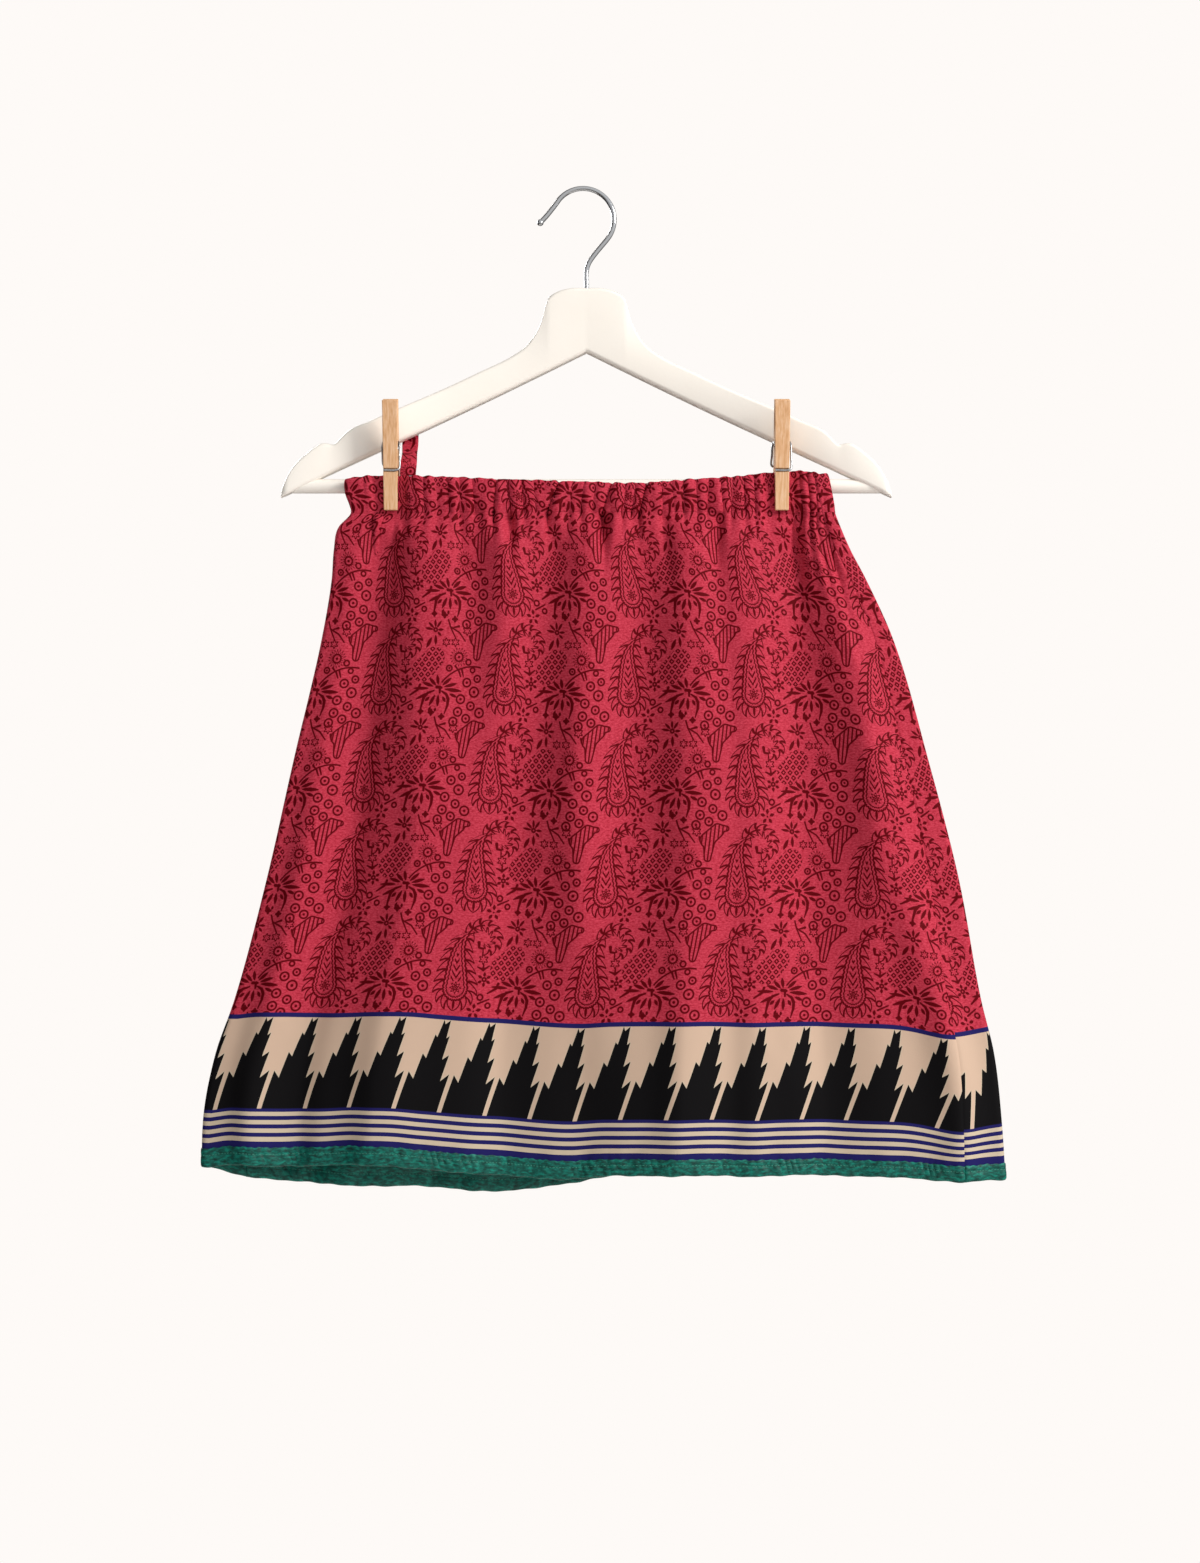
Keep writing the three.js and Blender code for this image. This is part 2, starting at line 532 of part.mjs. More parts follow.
// One leg, closed, with its meeting face in the plane Y = 0 and its outside towards -Y
function leg() {
  const { meet, notch, groove } = LEG;
  const profile = new THREE.Shape();
  const seat = Math.asin(meet / LEG.coilSeat);
  const bite = Math.acos((meet - notch.depth) / notch.radius);
  profile.moveTo(meet, PIN.jaw);
  profile.lineTo(LEG.jawOuter, PIN.jaw);
  profile.lineTo(groove.mouth - 0.15, groove.height - groove.width / 2);
  profile.lineTo(groove.floor, groove.height - groove.width / 2);
  profile.lineTo(groove.floor, groove.height + groove.width / 2);
  profile.lineTo(groove.mouth + 0.05, groove.height + groove.width / 2);
  profile.lineTo(LEG.waistOuter, 0);
  profile.lineTo(LEG.handleOuter, PIN.top);
  profile.lineTo(LEG.handleInner, PIN.top);
  profile.absarc(0, 0, LEG.coilSeat, Math.PI / 2 - LEG.relief, -Math.PI / 2 + seat, true);
  profile.absarc(notch.depth, notch.height, notch.radius, bite, -bite, true);
  const geometry = new THREE.ExtrudeGeometry(profile, { depth: 1, steps: 1, bevelEnabled: false,
    curveSegments: 5 });
  geometry.translate(0, 0, -0.5);
  const at = geometry.attributes.position;
  for (let i = 0; i < at.count; i += 1) {
    const [depth, height, across] = [at.getX(i), at.getY(i), at.getZ(i)];
    const width = THREE.MathUtils.mapLinear(height, PIN.jaw, PIN.top, PIN.widthJaw, PIN.widthTop);
    at.setXYZ(i, -across * width, -depth, height);
  }
  return geometry;
}

// Where a place on the back leg comes when the pin is open
function opened(depth, height) {
  const a = THREE.MathUtils.degToRad(PIN.open);
  return { depth: depth * Math.cos(a) - height * Math.sin(a),
    height: depth * Math.sin(a) + height * Math.cos(a) };
}

// The spring: across the front leg in its groove, along one side, round in the coil between the
// legs, along the other side and across the back leg
function spring() {
  const { coil, wire, turns, side, across } = PIN;
  const rest = LEG.groove.floor + GAP + wire;
  const back = opened(rest, LEG.groove.height);
  const radius = coil - wire;
  const route = [new THREE.Vector3(-across, -rest, LEG.groove.height)];
  route.push(new THREE.Vector3(across, -rest, LEG.groove.height));
  route.push(new THREE.Vector3(side, -rest + 0.7, LEG.groove.height + 1.6));
  route.push(new THREE.Vector3(side, -radius - 0.9, -7));
  spread(0, turns, turns * 12).forEach((turn) => {
    const a = Math.PI - 2 * Math.PI * turn;
    const x = THREE.MathUtils.lerp(side, -side, turn / turns);
    route.push(new THREE.Vector3(x, radius * Math.cos(a), radius * Math.sin(a)));
  });
  route.push(new THREE.Vector3(-side, radius + 2.2, -5));
  route.push(new THREE.Vector3(-side, back.depth - 0.9, back.height + 1.4));
  route.push(new THREE.Vector3(-across, back.depth, back.height));
  route.push(new THREE.Vector3(across, back.depth, back.height));
  return rod(route, wire, 6, 84);
}

// ---------------------------------------------------------------------------------------------
// The whole
// ---------------------------------------------------------------------------------------------

const object = new THREE.Group();

function add(name, geometry, material, parent = object) {
  const mesh = new THREE.Mesh(geometry, material);
  mesh.name = name;
  parent.add(mesh);
  return mesh;
}

['front', 'back'].forEach((layer) => {
  add(`${layer}_panel`, panel(layer), printedCloth());
  add(`waist_casing_${layer}`, casing(layer), printedCloth());
  add(`hem_band_${layer}`, hemBand(layer), hemCloth());
});
add('waist_tie', tie(), printedCloth());

add('hanger_body', hangerBody(), paintedWood());
add('hanger_bar', barAlongX(BAR.radius, BAR.reach, 20), paintedWood());
add('hanger_hook', hook(), chromedSteel());

PINS.forEach(({ name, x }) => {
  const pin = new THREE.Group();
  pin.position.set(x, PIN.y, PIN.z);
  add(`pin_${name}_front_leg`, leg(), bareWood(), pin);
  const backLeg = add(`pin_${name}_back_leg`, leg().rotateZ(Math.PI), bareWood(), pin);
  backLeg.rotation.x = THREE.MathUtils.degToRad(PIN.open);
  add(`pin_${name}_spring`, spring(), chromedSteel(), pin);
  object.add(pin);
});

export default object;
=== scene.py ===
# Looks of a knee-length skirt with an elastic waist, clipped by two clothespins to the bar of a wooden
# hanger. Sizes are in millimetres, and MM turns them to metres where a mesh or a light is made. The
# front faces -Y, and the origin is the inside of the top of the hook.
import math

import bpy
import numpy as np
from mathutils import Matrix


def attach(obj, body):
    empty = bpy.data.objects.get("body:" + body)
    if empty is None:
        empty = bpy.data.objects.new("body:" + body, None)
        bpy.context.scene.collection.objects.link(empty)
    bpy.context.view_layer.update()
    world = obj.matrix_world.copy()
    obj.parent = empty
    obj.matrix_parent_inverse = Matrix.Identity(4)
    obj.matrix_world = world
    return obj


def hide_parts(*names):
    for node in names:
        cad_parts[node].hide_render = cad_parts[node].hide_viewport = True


MM = 0.001
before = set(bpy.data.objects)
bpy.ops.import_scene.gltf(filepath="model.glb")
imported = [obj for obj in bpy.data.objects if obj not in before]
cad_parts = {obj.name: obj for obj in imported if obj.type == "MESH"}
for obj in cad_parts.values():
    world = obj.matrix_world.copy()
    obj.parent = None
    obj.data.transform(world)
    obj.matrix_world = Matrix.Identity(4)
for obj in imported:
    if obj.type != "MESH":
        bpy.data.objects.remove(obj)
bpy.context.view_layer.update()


# Camera
# A level view of the front from 1.8 m. The middle of the view is a little right of the hook and at a
# third of the skirt's height.
VIEW_MIDDLE = {"x": 12.1, "z": -420.3}
VIEW_DISTANCE = 1800.0              # from the camera to the cloth
VIEW_HEIGHT = 1094.1                # how much it sees there, from bottom to top
CLOTH_DEPTH = -30.0

camera_data = bpy.data.cameras.new("camera")
camera_data.sensor_fit = "VERTICAL"
camera_data.sensor_height = 24.0
camera_data.lens = camera_data.sensor_height * VIEW_DISTANCE / VIEW_HEIGHT
camera = bpy.data.objects.new("camera", camera_data)
camera.location = (VIEW_MIDDLE["x"] * MM, (CLOTH_DEPTH - VIEW_DISTANCE) * MM, VIEW_MIDDLE["z"] * MM)
camera.rotation_euler = (math.pi / 2, 0, 0)
bpy.context.scene.collection.objects.link(camera)
bpy.context.scene.camera = camera


# Light and stage
# A large soft light from the upper right, a weak one from the left, one that rakes across the back,
# and pale surroundings. The pale floor lies well under the hem.
def linear(colour):
    """An sRGB hex colour as linear red, green, blue and alpha"""
    parts = [int(colour[i:i + 2], 16) / 255 for i in (0, 2, 4)]
    return [p / 12.92 if p <= 0.04045 else ((p + 0.055) / 1.055) ** 2.4 for p in parts] + [1.0]


def fill(tree, node, inputs):
    """Give a node's sockets, by name or number or in their order, their values or links"""
    for socket, value in inputs.items() if isinstance(inputs, dict) else enumerate(inputs):
        if isinstance(value, bpy.types.NodeSocket):
            tree.links.new(value, node.inputs[socket])
        else:
            node.inputs[socket].default_value = value


def add(tree, kind, inputs=(), stops=(), points=(), **settings):
    """A node with its settings and links, given back as its first output. kind is the node's name and,
    for maths, what it works out, such as Math ADD. inputs holds values or links, stops a ramp's
    places and colours, and points a curve's places and heights."""
    kind, _, operation = kind.partition(" ")
    made = tree.nodes.new("ShaderNode" + kind)
    if operation:
        made.operation = operation
    for name, value in settings.items():
        setattr(made, name, value)
    fill(tree, made, inputs)
    for i, (place, colour) in enumerate(stops):
        stop = made.color_ramp.elements[i] if i < 2 else made.color_ramp.elements.new(place)
        stop.position = place
        stop.color = linear(colour)
    if points:
        curve = made.mapping.curves[0]
        curve.points[0].location = points[0]
        curve.points[1].location = points[-1]
        for spot in points[1:-1]:
            curve.points.new(*spot)
        for point in curve.points:
            point.handle_type = "VECTOR"
        made.mapping.update()
    return next(socket for socket in made.outputs if socket.enabled)


def material(name):
    """A new material, its node tree, and its Principled shader"""
    made = bpy.data.materials.new(name)
    made.use_nodes = True
    return made, made.node_tree, made.node_tree.nodes["Principled BSDF"]


SURROUNDINGS = {"seen": "fefaf7", "strength": 0.95, "bright_side": (0.62, -0.62, 0.48)}
LIGHTS = [
    {"name": "key", "at": (1750, -1150, 650), "aim": (40, -30, -450), "size": 850, "watts": 40.0,
     "colour": "fffaf4"},
    {"name": "fill", "at": (-1700, -1500, -100), "aim": (0, -30, -400), "size": 1500, "watts": 3.0,
     "colour": "f8f9ff"},
    {"name": "back", "at": (-1150, 1700, 500), "aim": (0, -30, -400), "size": 1000, "watts": 38.0,
     "colour": "fffdfa"},
]
FLOOR = {"top": -1250, "reach": 850, "colour": "ece9e5"}

world = bpy.data.worlds.new("pale surroundings")
world.use_nodes = True
tree = world.node_tree
seen = add(tree, "LightPath")
# The room glows from the right of the camera and above, and is dim behind and below.
way = add(tree, "TexCoord")
toward = add(tree, "VectorMath DOT_PRODUCT", (way, SURROUNDINGS["bright_side"]))
toward = toward.node.outputs["Value"]
toward = add(tree, "MapRange", {0: toward, 1: -1.0, 2: 1.0})
glow = add(tree, "ValToRGB", {0: toward}, stops=(
    (0.0, "343231"), (0.5, "6c6966"), (0.8, "f0ece8"), (1.0, "ffffff")))
glow = add(tree, "Background", {"Color": glow, "Strength": SURROUNDINGS["strength"]})
behind = add(tree, "Background", {"Color": linear(SURROUNDINGS["seen"]), "Strength": 1.0})
mixed = add(tree, "MixShader", {0: seen, 1: glow, 2: behind})
tree.links.new(mixed, tree.nodes["World Output"].inputs["Surface"])
bpy.context.scene.world = world
bpy.context.scene.view_settings.view_transform = "Standard"

for lamp in LIGHTS:
    lamp_data = bpy.data.lights.new(lamp["name"], "AREA")
    lamp_data.size = lamp["size"] * MM
    lamp_data.energy = lamp["watts"]
    lamp_data.color = linear(lamp["colour"])[:3]
    lamp_object = bpy.data.objects.new(lamp["name"], lamp_data)
    away = [place - aim for place, aim in zip(lamp["at"], lamp["aim"])]
    lamp_object.location = [place * MM for place in lamp["at"]]
    lamp_object.visible_camera = False
    lamp_object.rotation_euler = (
        math.atan2(math.hypot(away[0], away[1]), away[2]), 0, math.atan2(away[0], -away[1]))
    bpy.context.scene.collection.objects.link(lamp_object)

floor_mesh = bpy.data.meshes.new("floor")
corners = [(x * FLOOR["reach"] * MM, y * FLOOR["reach"] * MM, FLOOR["top"] * MM)
           for x, y in ((-1, -1), (1, -1), (1, 1), (-1, 1))]
floor_mesh.from_pydata(corners, [], [(0, 1, 2, 3)])
floor = bpy.data.objects.new("floor", floor_mesh)
bpy.context.scene.collection.objects.link(floor)
matt_floor, tree, shader = material("matt floor paint")
# Flat and pale, so that it only returns a soft light from below.
fill(tree, shader, {"Base Color": linear(FLOOR["colour"]), "Roughness": 0.9})
floor_mesh.materials.append(matt_floor)


# Hanger body
# A contoured hanger of turned and bent beech: a tall head, and two arms that sweep forward to their
# tips, with a notch for a strap near each. Its edges are rounded and it is sprayed satin white.
def table(names, *rows):
    """Columns of a table by name"""
    return dict(zip(names.split(), np.array(rows, float).T))


def smooth(rows, place, value, at):
    """Smooth value of one column of a table, at places in another column"""
    x, y = rows[place], rows[value]
    if x[0] > x[-1]:
        x, y = x[::-1], y[::-1]
    steps = np.diff(y) / np.diff(x)
    slopes = np.concatenate([steps[:1], (steps[:-1] + steps[1:]) / 2, steps[-1:]])
    at = np.clip(at, x[0], x[-1])
    i = np.clip(np.searchsorted(x, at) - 1, 0, len(x) - 2)
    span = x[i + 1] - x[i]
    u = (at - x[i]) / span
    bend = (slopes[i] + slopes[i + 1]) * span - 2 * (y[i + 1] - y[i])
    lift = 3 * (y[i + 1] - y[i]) - (2 * slopes[i] + slopes[i + 1]) * span
    return y[i] + slopes[i] * span * u + lift * u ** 2 + bend * u ** 3


def grid_faces(rows, columns, ring=False, start=0):
    """Quads between a grid's points. A ring's last column meets its first."""
    across = np.arange(columns if ring else columns - 1)
    down = np.arange(rows - 1)[:, None] * columns
    here, there = down + across, down + (across + 1) % columns
    quads = np.stack([here, there, there + columns, here + columns], axis=-1)
    return (quads.reshape(-1, 4) + start).tolist()


def closed_rings(rings, columns, start=0):
    """Faces of a closed form made of rings: those between the rings, and one over each end"""
    last = start + (rings - 1) * columns
    ends = [list(range(start, start + columns))[::-1], list(range(last, last + columns))]
    return grid_faces(rings, columns, ring=True, start=start) + ends


def piece(name, points, faces, finish, stands_for=(), sharp=40):
    """A mesh in millimetres as a smooth-shaded piece that rides on the one body"""
    mesh = bpy.data.meshes.new(name)
    mesh.from_pydata((np.asarray(points, float) * MM).tolist(), [], faces)
    mesh.validate()
    mesh.polygons.foreach_set("use_smooth", [True] * len(mesh.polygons))
    mesh.set_sharp_from_angle(angle=math.radians(sharp))
    mesh.materials.append(finish)
    made = bpy.data.objects.new(name, mesh)
    bpy.context.scene.collection.objects.link(made)
    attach(made, "root")
    if stands_for:
        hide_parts(*stands_for)
    return made


HANGER_X = 2.5                      # middle of the hanger and of the skirt
ARM = {"thickness": 13.0, "sweep": 25.0, "sweep_end": 216.0, "edge": 3.0,
       "underside": -115.3, "fall": 0.495, "tip": 214.0}
UPPER_EDGE = table(
    "out z",
    (0, -69.8), (11, -69.9), (19, -71.8), (25, -75.0), (27.5, -77.6), (29, -82.0), (31, -90.0),
    (34.5, -99.0), (41, -109.0), (52, -117.8), (76, -130.0), (101, -142.3), (133, -157.1),
    (153, -166.8), (166, -173.0), (171, -177.4), (175, -182.0), (178, -183.8), (181.5, -183.0),
    (186, -183.2), (196, -190.2), (205, -199.2), (210, -207.4), (213, -214.0), (214, -218.6))

satin_paint, tree, shader = material("satin white paint on beech")
# The paint is smooth, with mottles 70 mm wide and the 2.4 mm peel of a sprayed coat, both very faint.
place = add(tree, "NewGeometry")
shade = add(tree, "TexNoise", {"Vector": place, "Scale": 14.0, "Detail": 3.0})
tint = add(tree, "ValToRGB", {0: shade}, stops=((0.3, "f6f1e9"), (0.7, "faf6ef")))
peel = add(tree, "TexNoise", {"Vector": place, "Scale": 420.0, "Detail": 2.0})
bump = add(tree, "Bump", {"Height": peel, "Strength": 0.08, "Distance": 0.0004})
fill(tree, shader, {"Base Color": tint, "Normal": bump, "Roughness": 0.38, "Coat Weight": 0.25,
                    "Coat Roughness": 0.22})

CORNER_POINTS = 6                   # on each rounded edge of an arm
out = np.arange(0, ARM["tip"], 1.6)
out = np.append(out, [ARM["tip"] - 0.6, ARM["tip"]])
station = np.concatenate([-out[:0:-1], out])
out = np.abs(station)
upper = smooth(UPPER_EDGE, "out", "z", out)
lower = ARM["underside"] - ARM["fall"] * out
depth = -ARM["sweep"] * (1 - np.cos(np.pi * (out / ARM["sweep_end"]) ** 1.5)) / 2
slim = np.sqrt(1 - 0.75 * np.clip((out - ARM["tip"] + 5) / 5, 0, 1) ** 2)
half = ARM["thickness"] / 2 * slim
tall = (upper - lower) / 2
edge = np.minimum(ARM["edge"], 0.85 * np.minimum(tall, half))
angle = np.linspace(0, np.pi / 2, CORNER_POINTS)
ring = [(sy, sz, a) for sy, sz, way in ((1, 1, 1), (-1, 1, -1), (-1, -1, 1), (1, -1, -1))
        for a in angle[::way]]
rows = [np.stack([HANGER_X + station,
                  depth + sy * (half - edge + edge * math.cos(a)),
                  (upper + lower) / 2 + sz * (tall - edge + edge * math.sin(a))], axis=-1)
        for sy, sz, a in ring]
points = np.stack(rows, axis=1).reshape(-1, 3)
faces = closed_rings(len(station), len(ring))
piece("painted_hanger", points, faces, satin_paint, ["hanger_body"])


# Hanger bar
# A turned beech dowel, 10 mm thick. Its ends are glued into holes in the two arms, and it is sprayed
# with them.
BAR = {"y": -24.0, "z": -213.0, "radius": 5.0, "reach": 206.0, "rings": 60, "sides": 48}

turn = np.linspace(0, 2 * np.pi, BAR["sides"], endpoint=False)
along = HANGER_X + np.linspace(-BAR["reach"], BAR["reach"], BAR["rings"])[:, None]
points = np.stack(np.broadcast_arrays(along, BAR["y"] + BAR["radius"] * np.cos(turn),
                                      BAR["z"] + BAR["radius"] * np.sin(turn)), axis=-1)
faces = closed_rings(BAR["rings"], BAR["sides"])
piece("painted_bar", points.reshape(-1, 3), faces, satin_paint, ["hanger_bar"])


# Hanger hook
# A steel rod, 3.5 mm thick, bent cold, its end upset to a small bead, and chrome plated. The plating
# mirrors the pale room, so it looks bright with dark edges.
def through(points, steps):
    """A smooth route through points, with so many steps between each two"""
    points = np.array(points, float)
    apart = np.sqrt(np.linalg.norm(np.diff(points, axis=0), axis=1))
    passed = np.concatenate([[0], np.cumsum(apart)])
    stops = np.arange(len(points))
    at = np.interp(np.linspace(0, stops[-1], stops[-1] * steps + 1), stops, passed)
    return np.stack([smooth({"at": passed, "value": values}, "at", "value", at)
                     for values in points.T], axis=-1)


def wire(route, radius, sides):
    """Points and faces of a round wire along a route, closed at both ends"""
    route = np.asarray(route, float)
    along = np.gradient(route, axis=0)
    along /= np.linalg.norm(along, axis=1)[:, None]
    side = np.cross(along[0], (0.3, 0.9, 0.2))  # any way but along the wire starts the first ring
    rings = []
    for here, ahead in zip(route, along):
        side = side - ahead * side.dot(ahead)
        side = side / np.linalg.norm(side)
        up = np.cross(ahead, side)
        turn = np.linspace(0, 2 * np.pi, sides, endpoint=False)[:, None]
        rings.append(here + radius * (np.cos(turn) * side + np.sin(turn) * up))
    return np.vstack(rings), closed_rings(len(route), sides)


HOOK = {"wire": 1.75, "bend": 22.2, "from": -38, "to": 150, "foot": -90.2, "sides": 24}
HOOK_NECK = [(2.5, -80.0), (2.5, -66.0), (2.5, -57.0), (4.1, -51.5), (8.5, -45.0)]
HOOK_LIP = [(-23.6, -15.0), (-26.6, -18.6), (-29.6, -21.8)]
BEAD = {"middle": (-30.4, 0, -22.6), "radius": 2.4, "rings": 11, "sides": 20}

chrome, tree, shader = material("chromium plate")
# Bright plating over drawn steel, whose fine scratches, 1 mm apart, only soften its highlights.
place = add(tree, "NewGeometry")
scratch = add(tree, "TexNoise", {"Vector": place, "Scale": 900.0, "Detail": 2.0})
rough = add(tree, "MapRange", {0: scratch, 1: 0.3, 2: 0.7, 3: 0.08, 4: 0.2})
fill(tree, shader, {"Base Color": linear("b9bcc0"), "Metallic": 1.0, "Roughness": rough})

bend = np.radians(np.linspace(HOOK["from"], HOOK["to"], 16))
middle = HOOK["wire"] - HOOK["bend"]
arc = [(HOOK["bend"] * math.cos(a), middle + HOOK["bend"] * math.sin(a)) for a in bend]
route = [(x, 0, z) for x, z in [(HANGER_X, HOOK["foot"]), *HOOK_NECK, *arc, *HOOK_LIP]]
points, faces = wire(through(route, 6), HOOK["wire"], HOOK["sides"])
tilt = np.linspace(0, np.pi, BEAD["rings"] + 2)[1:-1, None]
turn = np.linspace(0, 2 * np.pi, BEAD["sides"], endpoint=False)
bead = np.stack(np.broadcast_arrays(np.sin(tilt) * np.cos(turn), np.sin(tilt) * np.sin(turn),
                                    np.cos(tilt)), axis=-1).reshape(-1, 3)
bead = bead * BEAD["radius"] + BEAD["middle"]
faces += [face[::-1] for face in closed_rings(BEAD["rings"], BEAD["sides"], start=len(points))]
piece("chromed_hook", np.vstack([points, bead]), faces, chrome, ["hanger_hook"], 60)


# Skirt panels
# Two A-line panels of thin printed crepe, the grain upright at their middles, each gathered into
# the casing along its top and sewn to the other along its sides. They hang as a flat tube that the
# pins hold up, so folds run down from both pins and fan out to the hem.
GAP = 0.3                           # between pieces that only touch
SEAM_LAP = 0.1                      # how far the panels pass each other at the side seams
TUCK = 1.2                          # how far a panel reaches up into its casing
CLOTH = 0.7                         # thickness
GATHER_Z = -232.4                   # stitched line where the gathers start
HEM_BAND = 11.5
HEM_LEVEL = -696.0
STITCH_LINE = 7.4                   # of the hem, above the edge
SEAM_TURN = table("z turn", (GATHER_Z, 9), (HEM_LEVEL, 30))
SECTIONS = table(
    "z left right front back side fold",
    (-204.0, -166.0, 170.5, -39.6, -30.5, -33.6, 3.1),
    (-218.0, -165.0, 173.0, -40.0, -30.5, -33.6, 3.1),
    (-232.4, -161.5, 176.0, -40.6, -30.3, -33.6, 3.1),
    (-243.0, -170.5, 180.0, -43.0, -28.0, -33.6, 3.4),
    (-258.0, -173.5, 186.5, -45.0, -25.5, -33.6, 3.7),
    (-279.0, -175.0, 197.5, -46.5, -23.5, -33.8, 4.0),
    (-321.0, -182.0, 216.5, -48.0, -21.5, -34.0, 4.0),
    (-405.0, -201.5, 241.0, -50.0, -19.0, -34.0, 4.0),
    (-489.0, -220.5, 262.5, -51.5, -17.5, -34.0, 4.0),
    (-573.0, -243.0, 278.0, -52.5, -16.5, -34.0, 4.0),
    (-610.0, -256.0, 287.0, -53.0, -16.0, -34.0, 4.0),
    (-653.0, -264.5, 292.0, -53.5, -15.5, -34.0, 4.0),
    (-706.0, -265.5, 295.5, -54.0, -15.0, -34.0, 4.0))
FULLNESS = 2.2                      # how long the tube keeps its depth towards the side folds
HEM = {
    "front": table(
        "across z", (0, -689.5), (0.03, -687), (0.1, -688.2), (0.15, -687), (0.19, -685.2),
        (0.23, -685.4), (0.27, -688), (0.36, -693), (0.42, -695.6), (0.46, -695.8), (0.5, -693.2),
        (0.57, -691.6), (0.62, -691.4), (0.67, -692.8), (0.75, -693.2), (0.8, -694.6),
        (0.88, -695.6), (0.94, -698), (1, -698)),
    "back": table(
        "across z", (0, -689.5), (0.035, -696), (0.1, -701.2), (0.22, -703), (0.3, -706.4),
        (0.36, -708.8), (0.42, -707.4), (0.46, -704), (0.52, -697.4), (0.7, -693.4), (0.9, -695.5),
        (1, -698)),
}
# Middles of the largest folds at three levels, how far they stand out there (or sink in, where
# negative), and how far they fade out to their left and right
FOLD_LEVELS = {"top": -258.0, "middle": -430.0, "low": -660.0}
FOLD_COLUMNS = "top middle low rise_top rise_middle rise_low left_width right_width"
FOLDS = {
    "front": table(
        FOLD_COLUMNS,
        (-168, -198, -235, 4.0, 8.0, 8.0, 12, 18), (-136, -156, -199, -8.5, -9.5, -6.0, 20, 12),
        (-113, -112, -144, 5.5, 8.0, 10.0, 17, 35), (-77, -80, -92, -5.5, 0.0, 0.0, 16, 14),
        (-54, -56, -60, 5.5, 0.0, 0.0, 14, 14), (-20, -45, -54, -6.5, -7.0, -8.0, 19, 27),
        (0, -4, 0, 5.0, 7.5, -3.0, 15, 18), (46, 35, -6, -6.0, -6.5, 3.0, 17, 25),
        (72, 75, 70, 6.5, 8.5, 8.0, 18, 34), (66, 66, 58, 0.0, 0.0, 6.5, 46, 26),
        (-20, -20, -10, 0.0, 0.0, -5.5, 30, 30), (93, 106, 104, -4.5, -0.6, -1.2, 11, 9),
        (116, 119, 118, 0.0, 3.0, 4.0, 16, 14), (145, 154, 172, -9.5, -8.5, -8.0, 17, 28),
        (196, 200, 204, 0.0, 3.0, 0.0, 14, 10), (162, 209, 266, 5.0, 8.5, 9.5, 18, 18)),
    "back": table(
        FOLD_COLUMNS,
        (-146, -170, -206, 3.0, 4.0, 5.0, 16, 22), (-118, -132, -164, -5.0, -6.0, -5.0, 18, 14),
        (-92, -102, -118, 4.5, 6.0, 6.5, 16, 26), (-48, -58, -66, -4.5, -4.0, -4.5, 18, 20),
        (-16, -14, -24, 4.5, 5.5, 6.0, 16, 22), (30, 26, 22, -4.0, -5.0, -4.0, 20, 18),
        (60, 72, 84, 4.0, 5.0, 6.5, 18, 26), (112, 128, 142, -5.5, -5.5, -4.5, 22, 16),
        (146, 174, 204, 4.0, 5.5, 6.0, 16, 24), (-120, -130, -140, 0.0, -3.0, -15.0, 38, 48)),
}
# Small furrows that the elastic's gathers leave in the cloth under the stitched line: how deep,
# wide and long they are, and how far they lean to the right for each millimetre down
FURROWS = table(
    "x depth width length lean",
    (-158, 2.0, 3.0, 26, -0.1), (-146, 1.4, 2.6, 20, 0), (-124, 1.8, 3.0, 26, 0),
    (-113, 1.4, 3.0, 18, 0), (-102, 1.2, 4.0, 30, -0.05), (-85, 2.0, 3.8, 34, 0.02),
    (-71, 1.2, 3.0, 14, 0), (-62, 1.8, 2.5, 12, 0), (-50, 8.5, 4.0, 26, 0),
    (-40, 1.6, 3.2, 14, 0), (-24, 2.6, 4.5, 28, 0.15), (-11, 1.2, 3.0, 14, 0),
    (1, 1.0, 3.0, 18, 0), (14.5, 10.0, 4.2, 30, 0), (27, 1.6, 3.0, 12, 0),
    (37, 2.6, 3.6, 24, 0), (56, 3.0, 4.5, 45, 0.1), (75, 1.4, 3.5, 16, 0),
    (95, 6.0, 4.0, 30, -0.05), (103, 1.2, 3.0, 14, 0), (114, 1.4, 3.0, 16, 0),
    (131, 1.2, 3.0, 20, 0), (148, 8.0, 5.0, 55, 0.05), (157, 2.6, 2.5, 40, 0.12),
    (162, 3.0, 2.2, 60, 0.2), (167, 8.0, 2.8, 56, 0.25))
# Single creases, from one end to the other: how far they stand out, how wide they are, and how far
# their middles bow to the side
CREASES = table(
    "x z to_x to_z rise width bow",
    (-130, -222, -134, -292, -2.4, 2.6, 0), (149, -222, 156, -318, -1.6, 4.0, 0),
    (-20, -549, 20, -542, 0.5, 2.2, -3), (-232, -560, -196, -600, 0.7, 5.0, 3),
    (160, -250, 205, -370, 1.2, 4.0, 4), (176, -262, 214, -338, -1.1, 3.0, 3),
    (-160, -244, -176, -330, 0.9, 3.5, -2), (232, -420, 262, -560, -1.0, 5.0, 4),
    (-214, -470, -238, -640, -0.8, 5.0, -4), (110, -560, 150, -640, 0.6, 6.0, 4),
    (-86, -300, -100, -400, 0.6, 5.0, 3), (24, -330, 34, -420, -0.5, 4.5, -3))
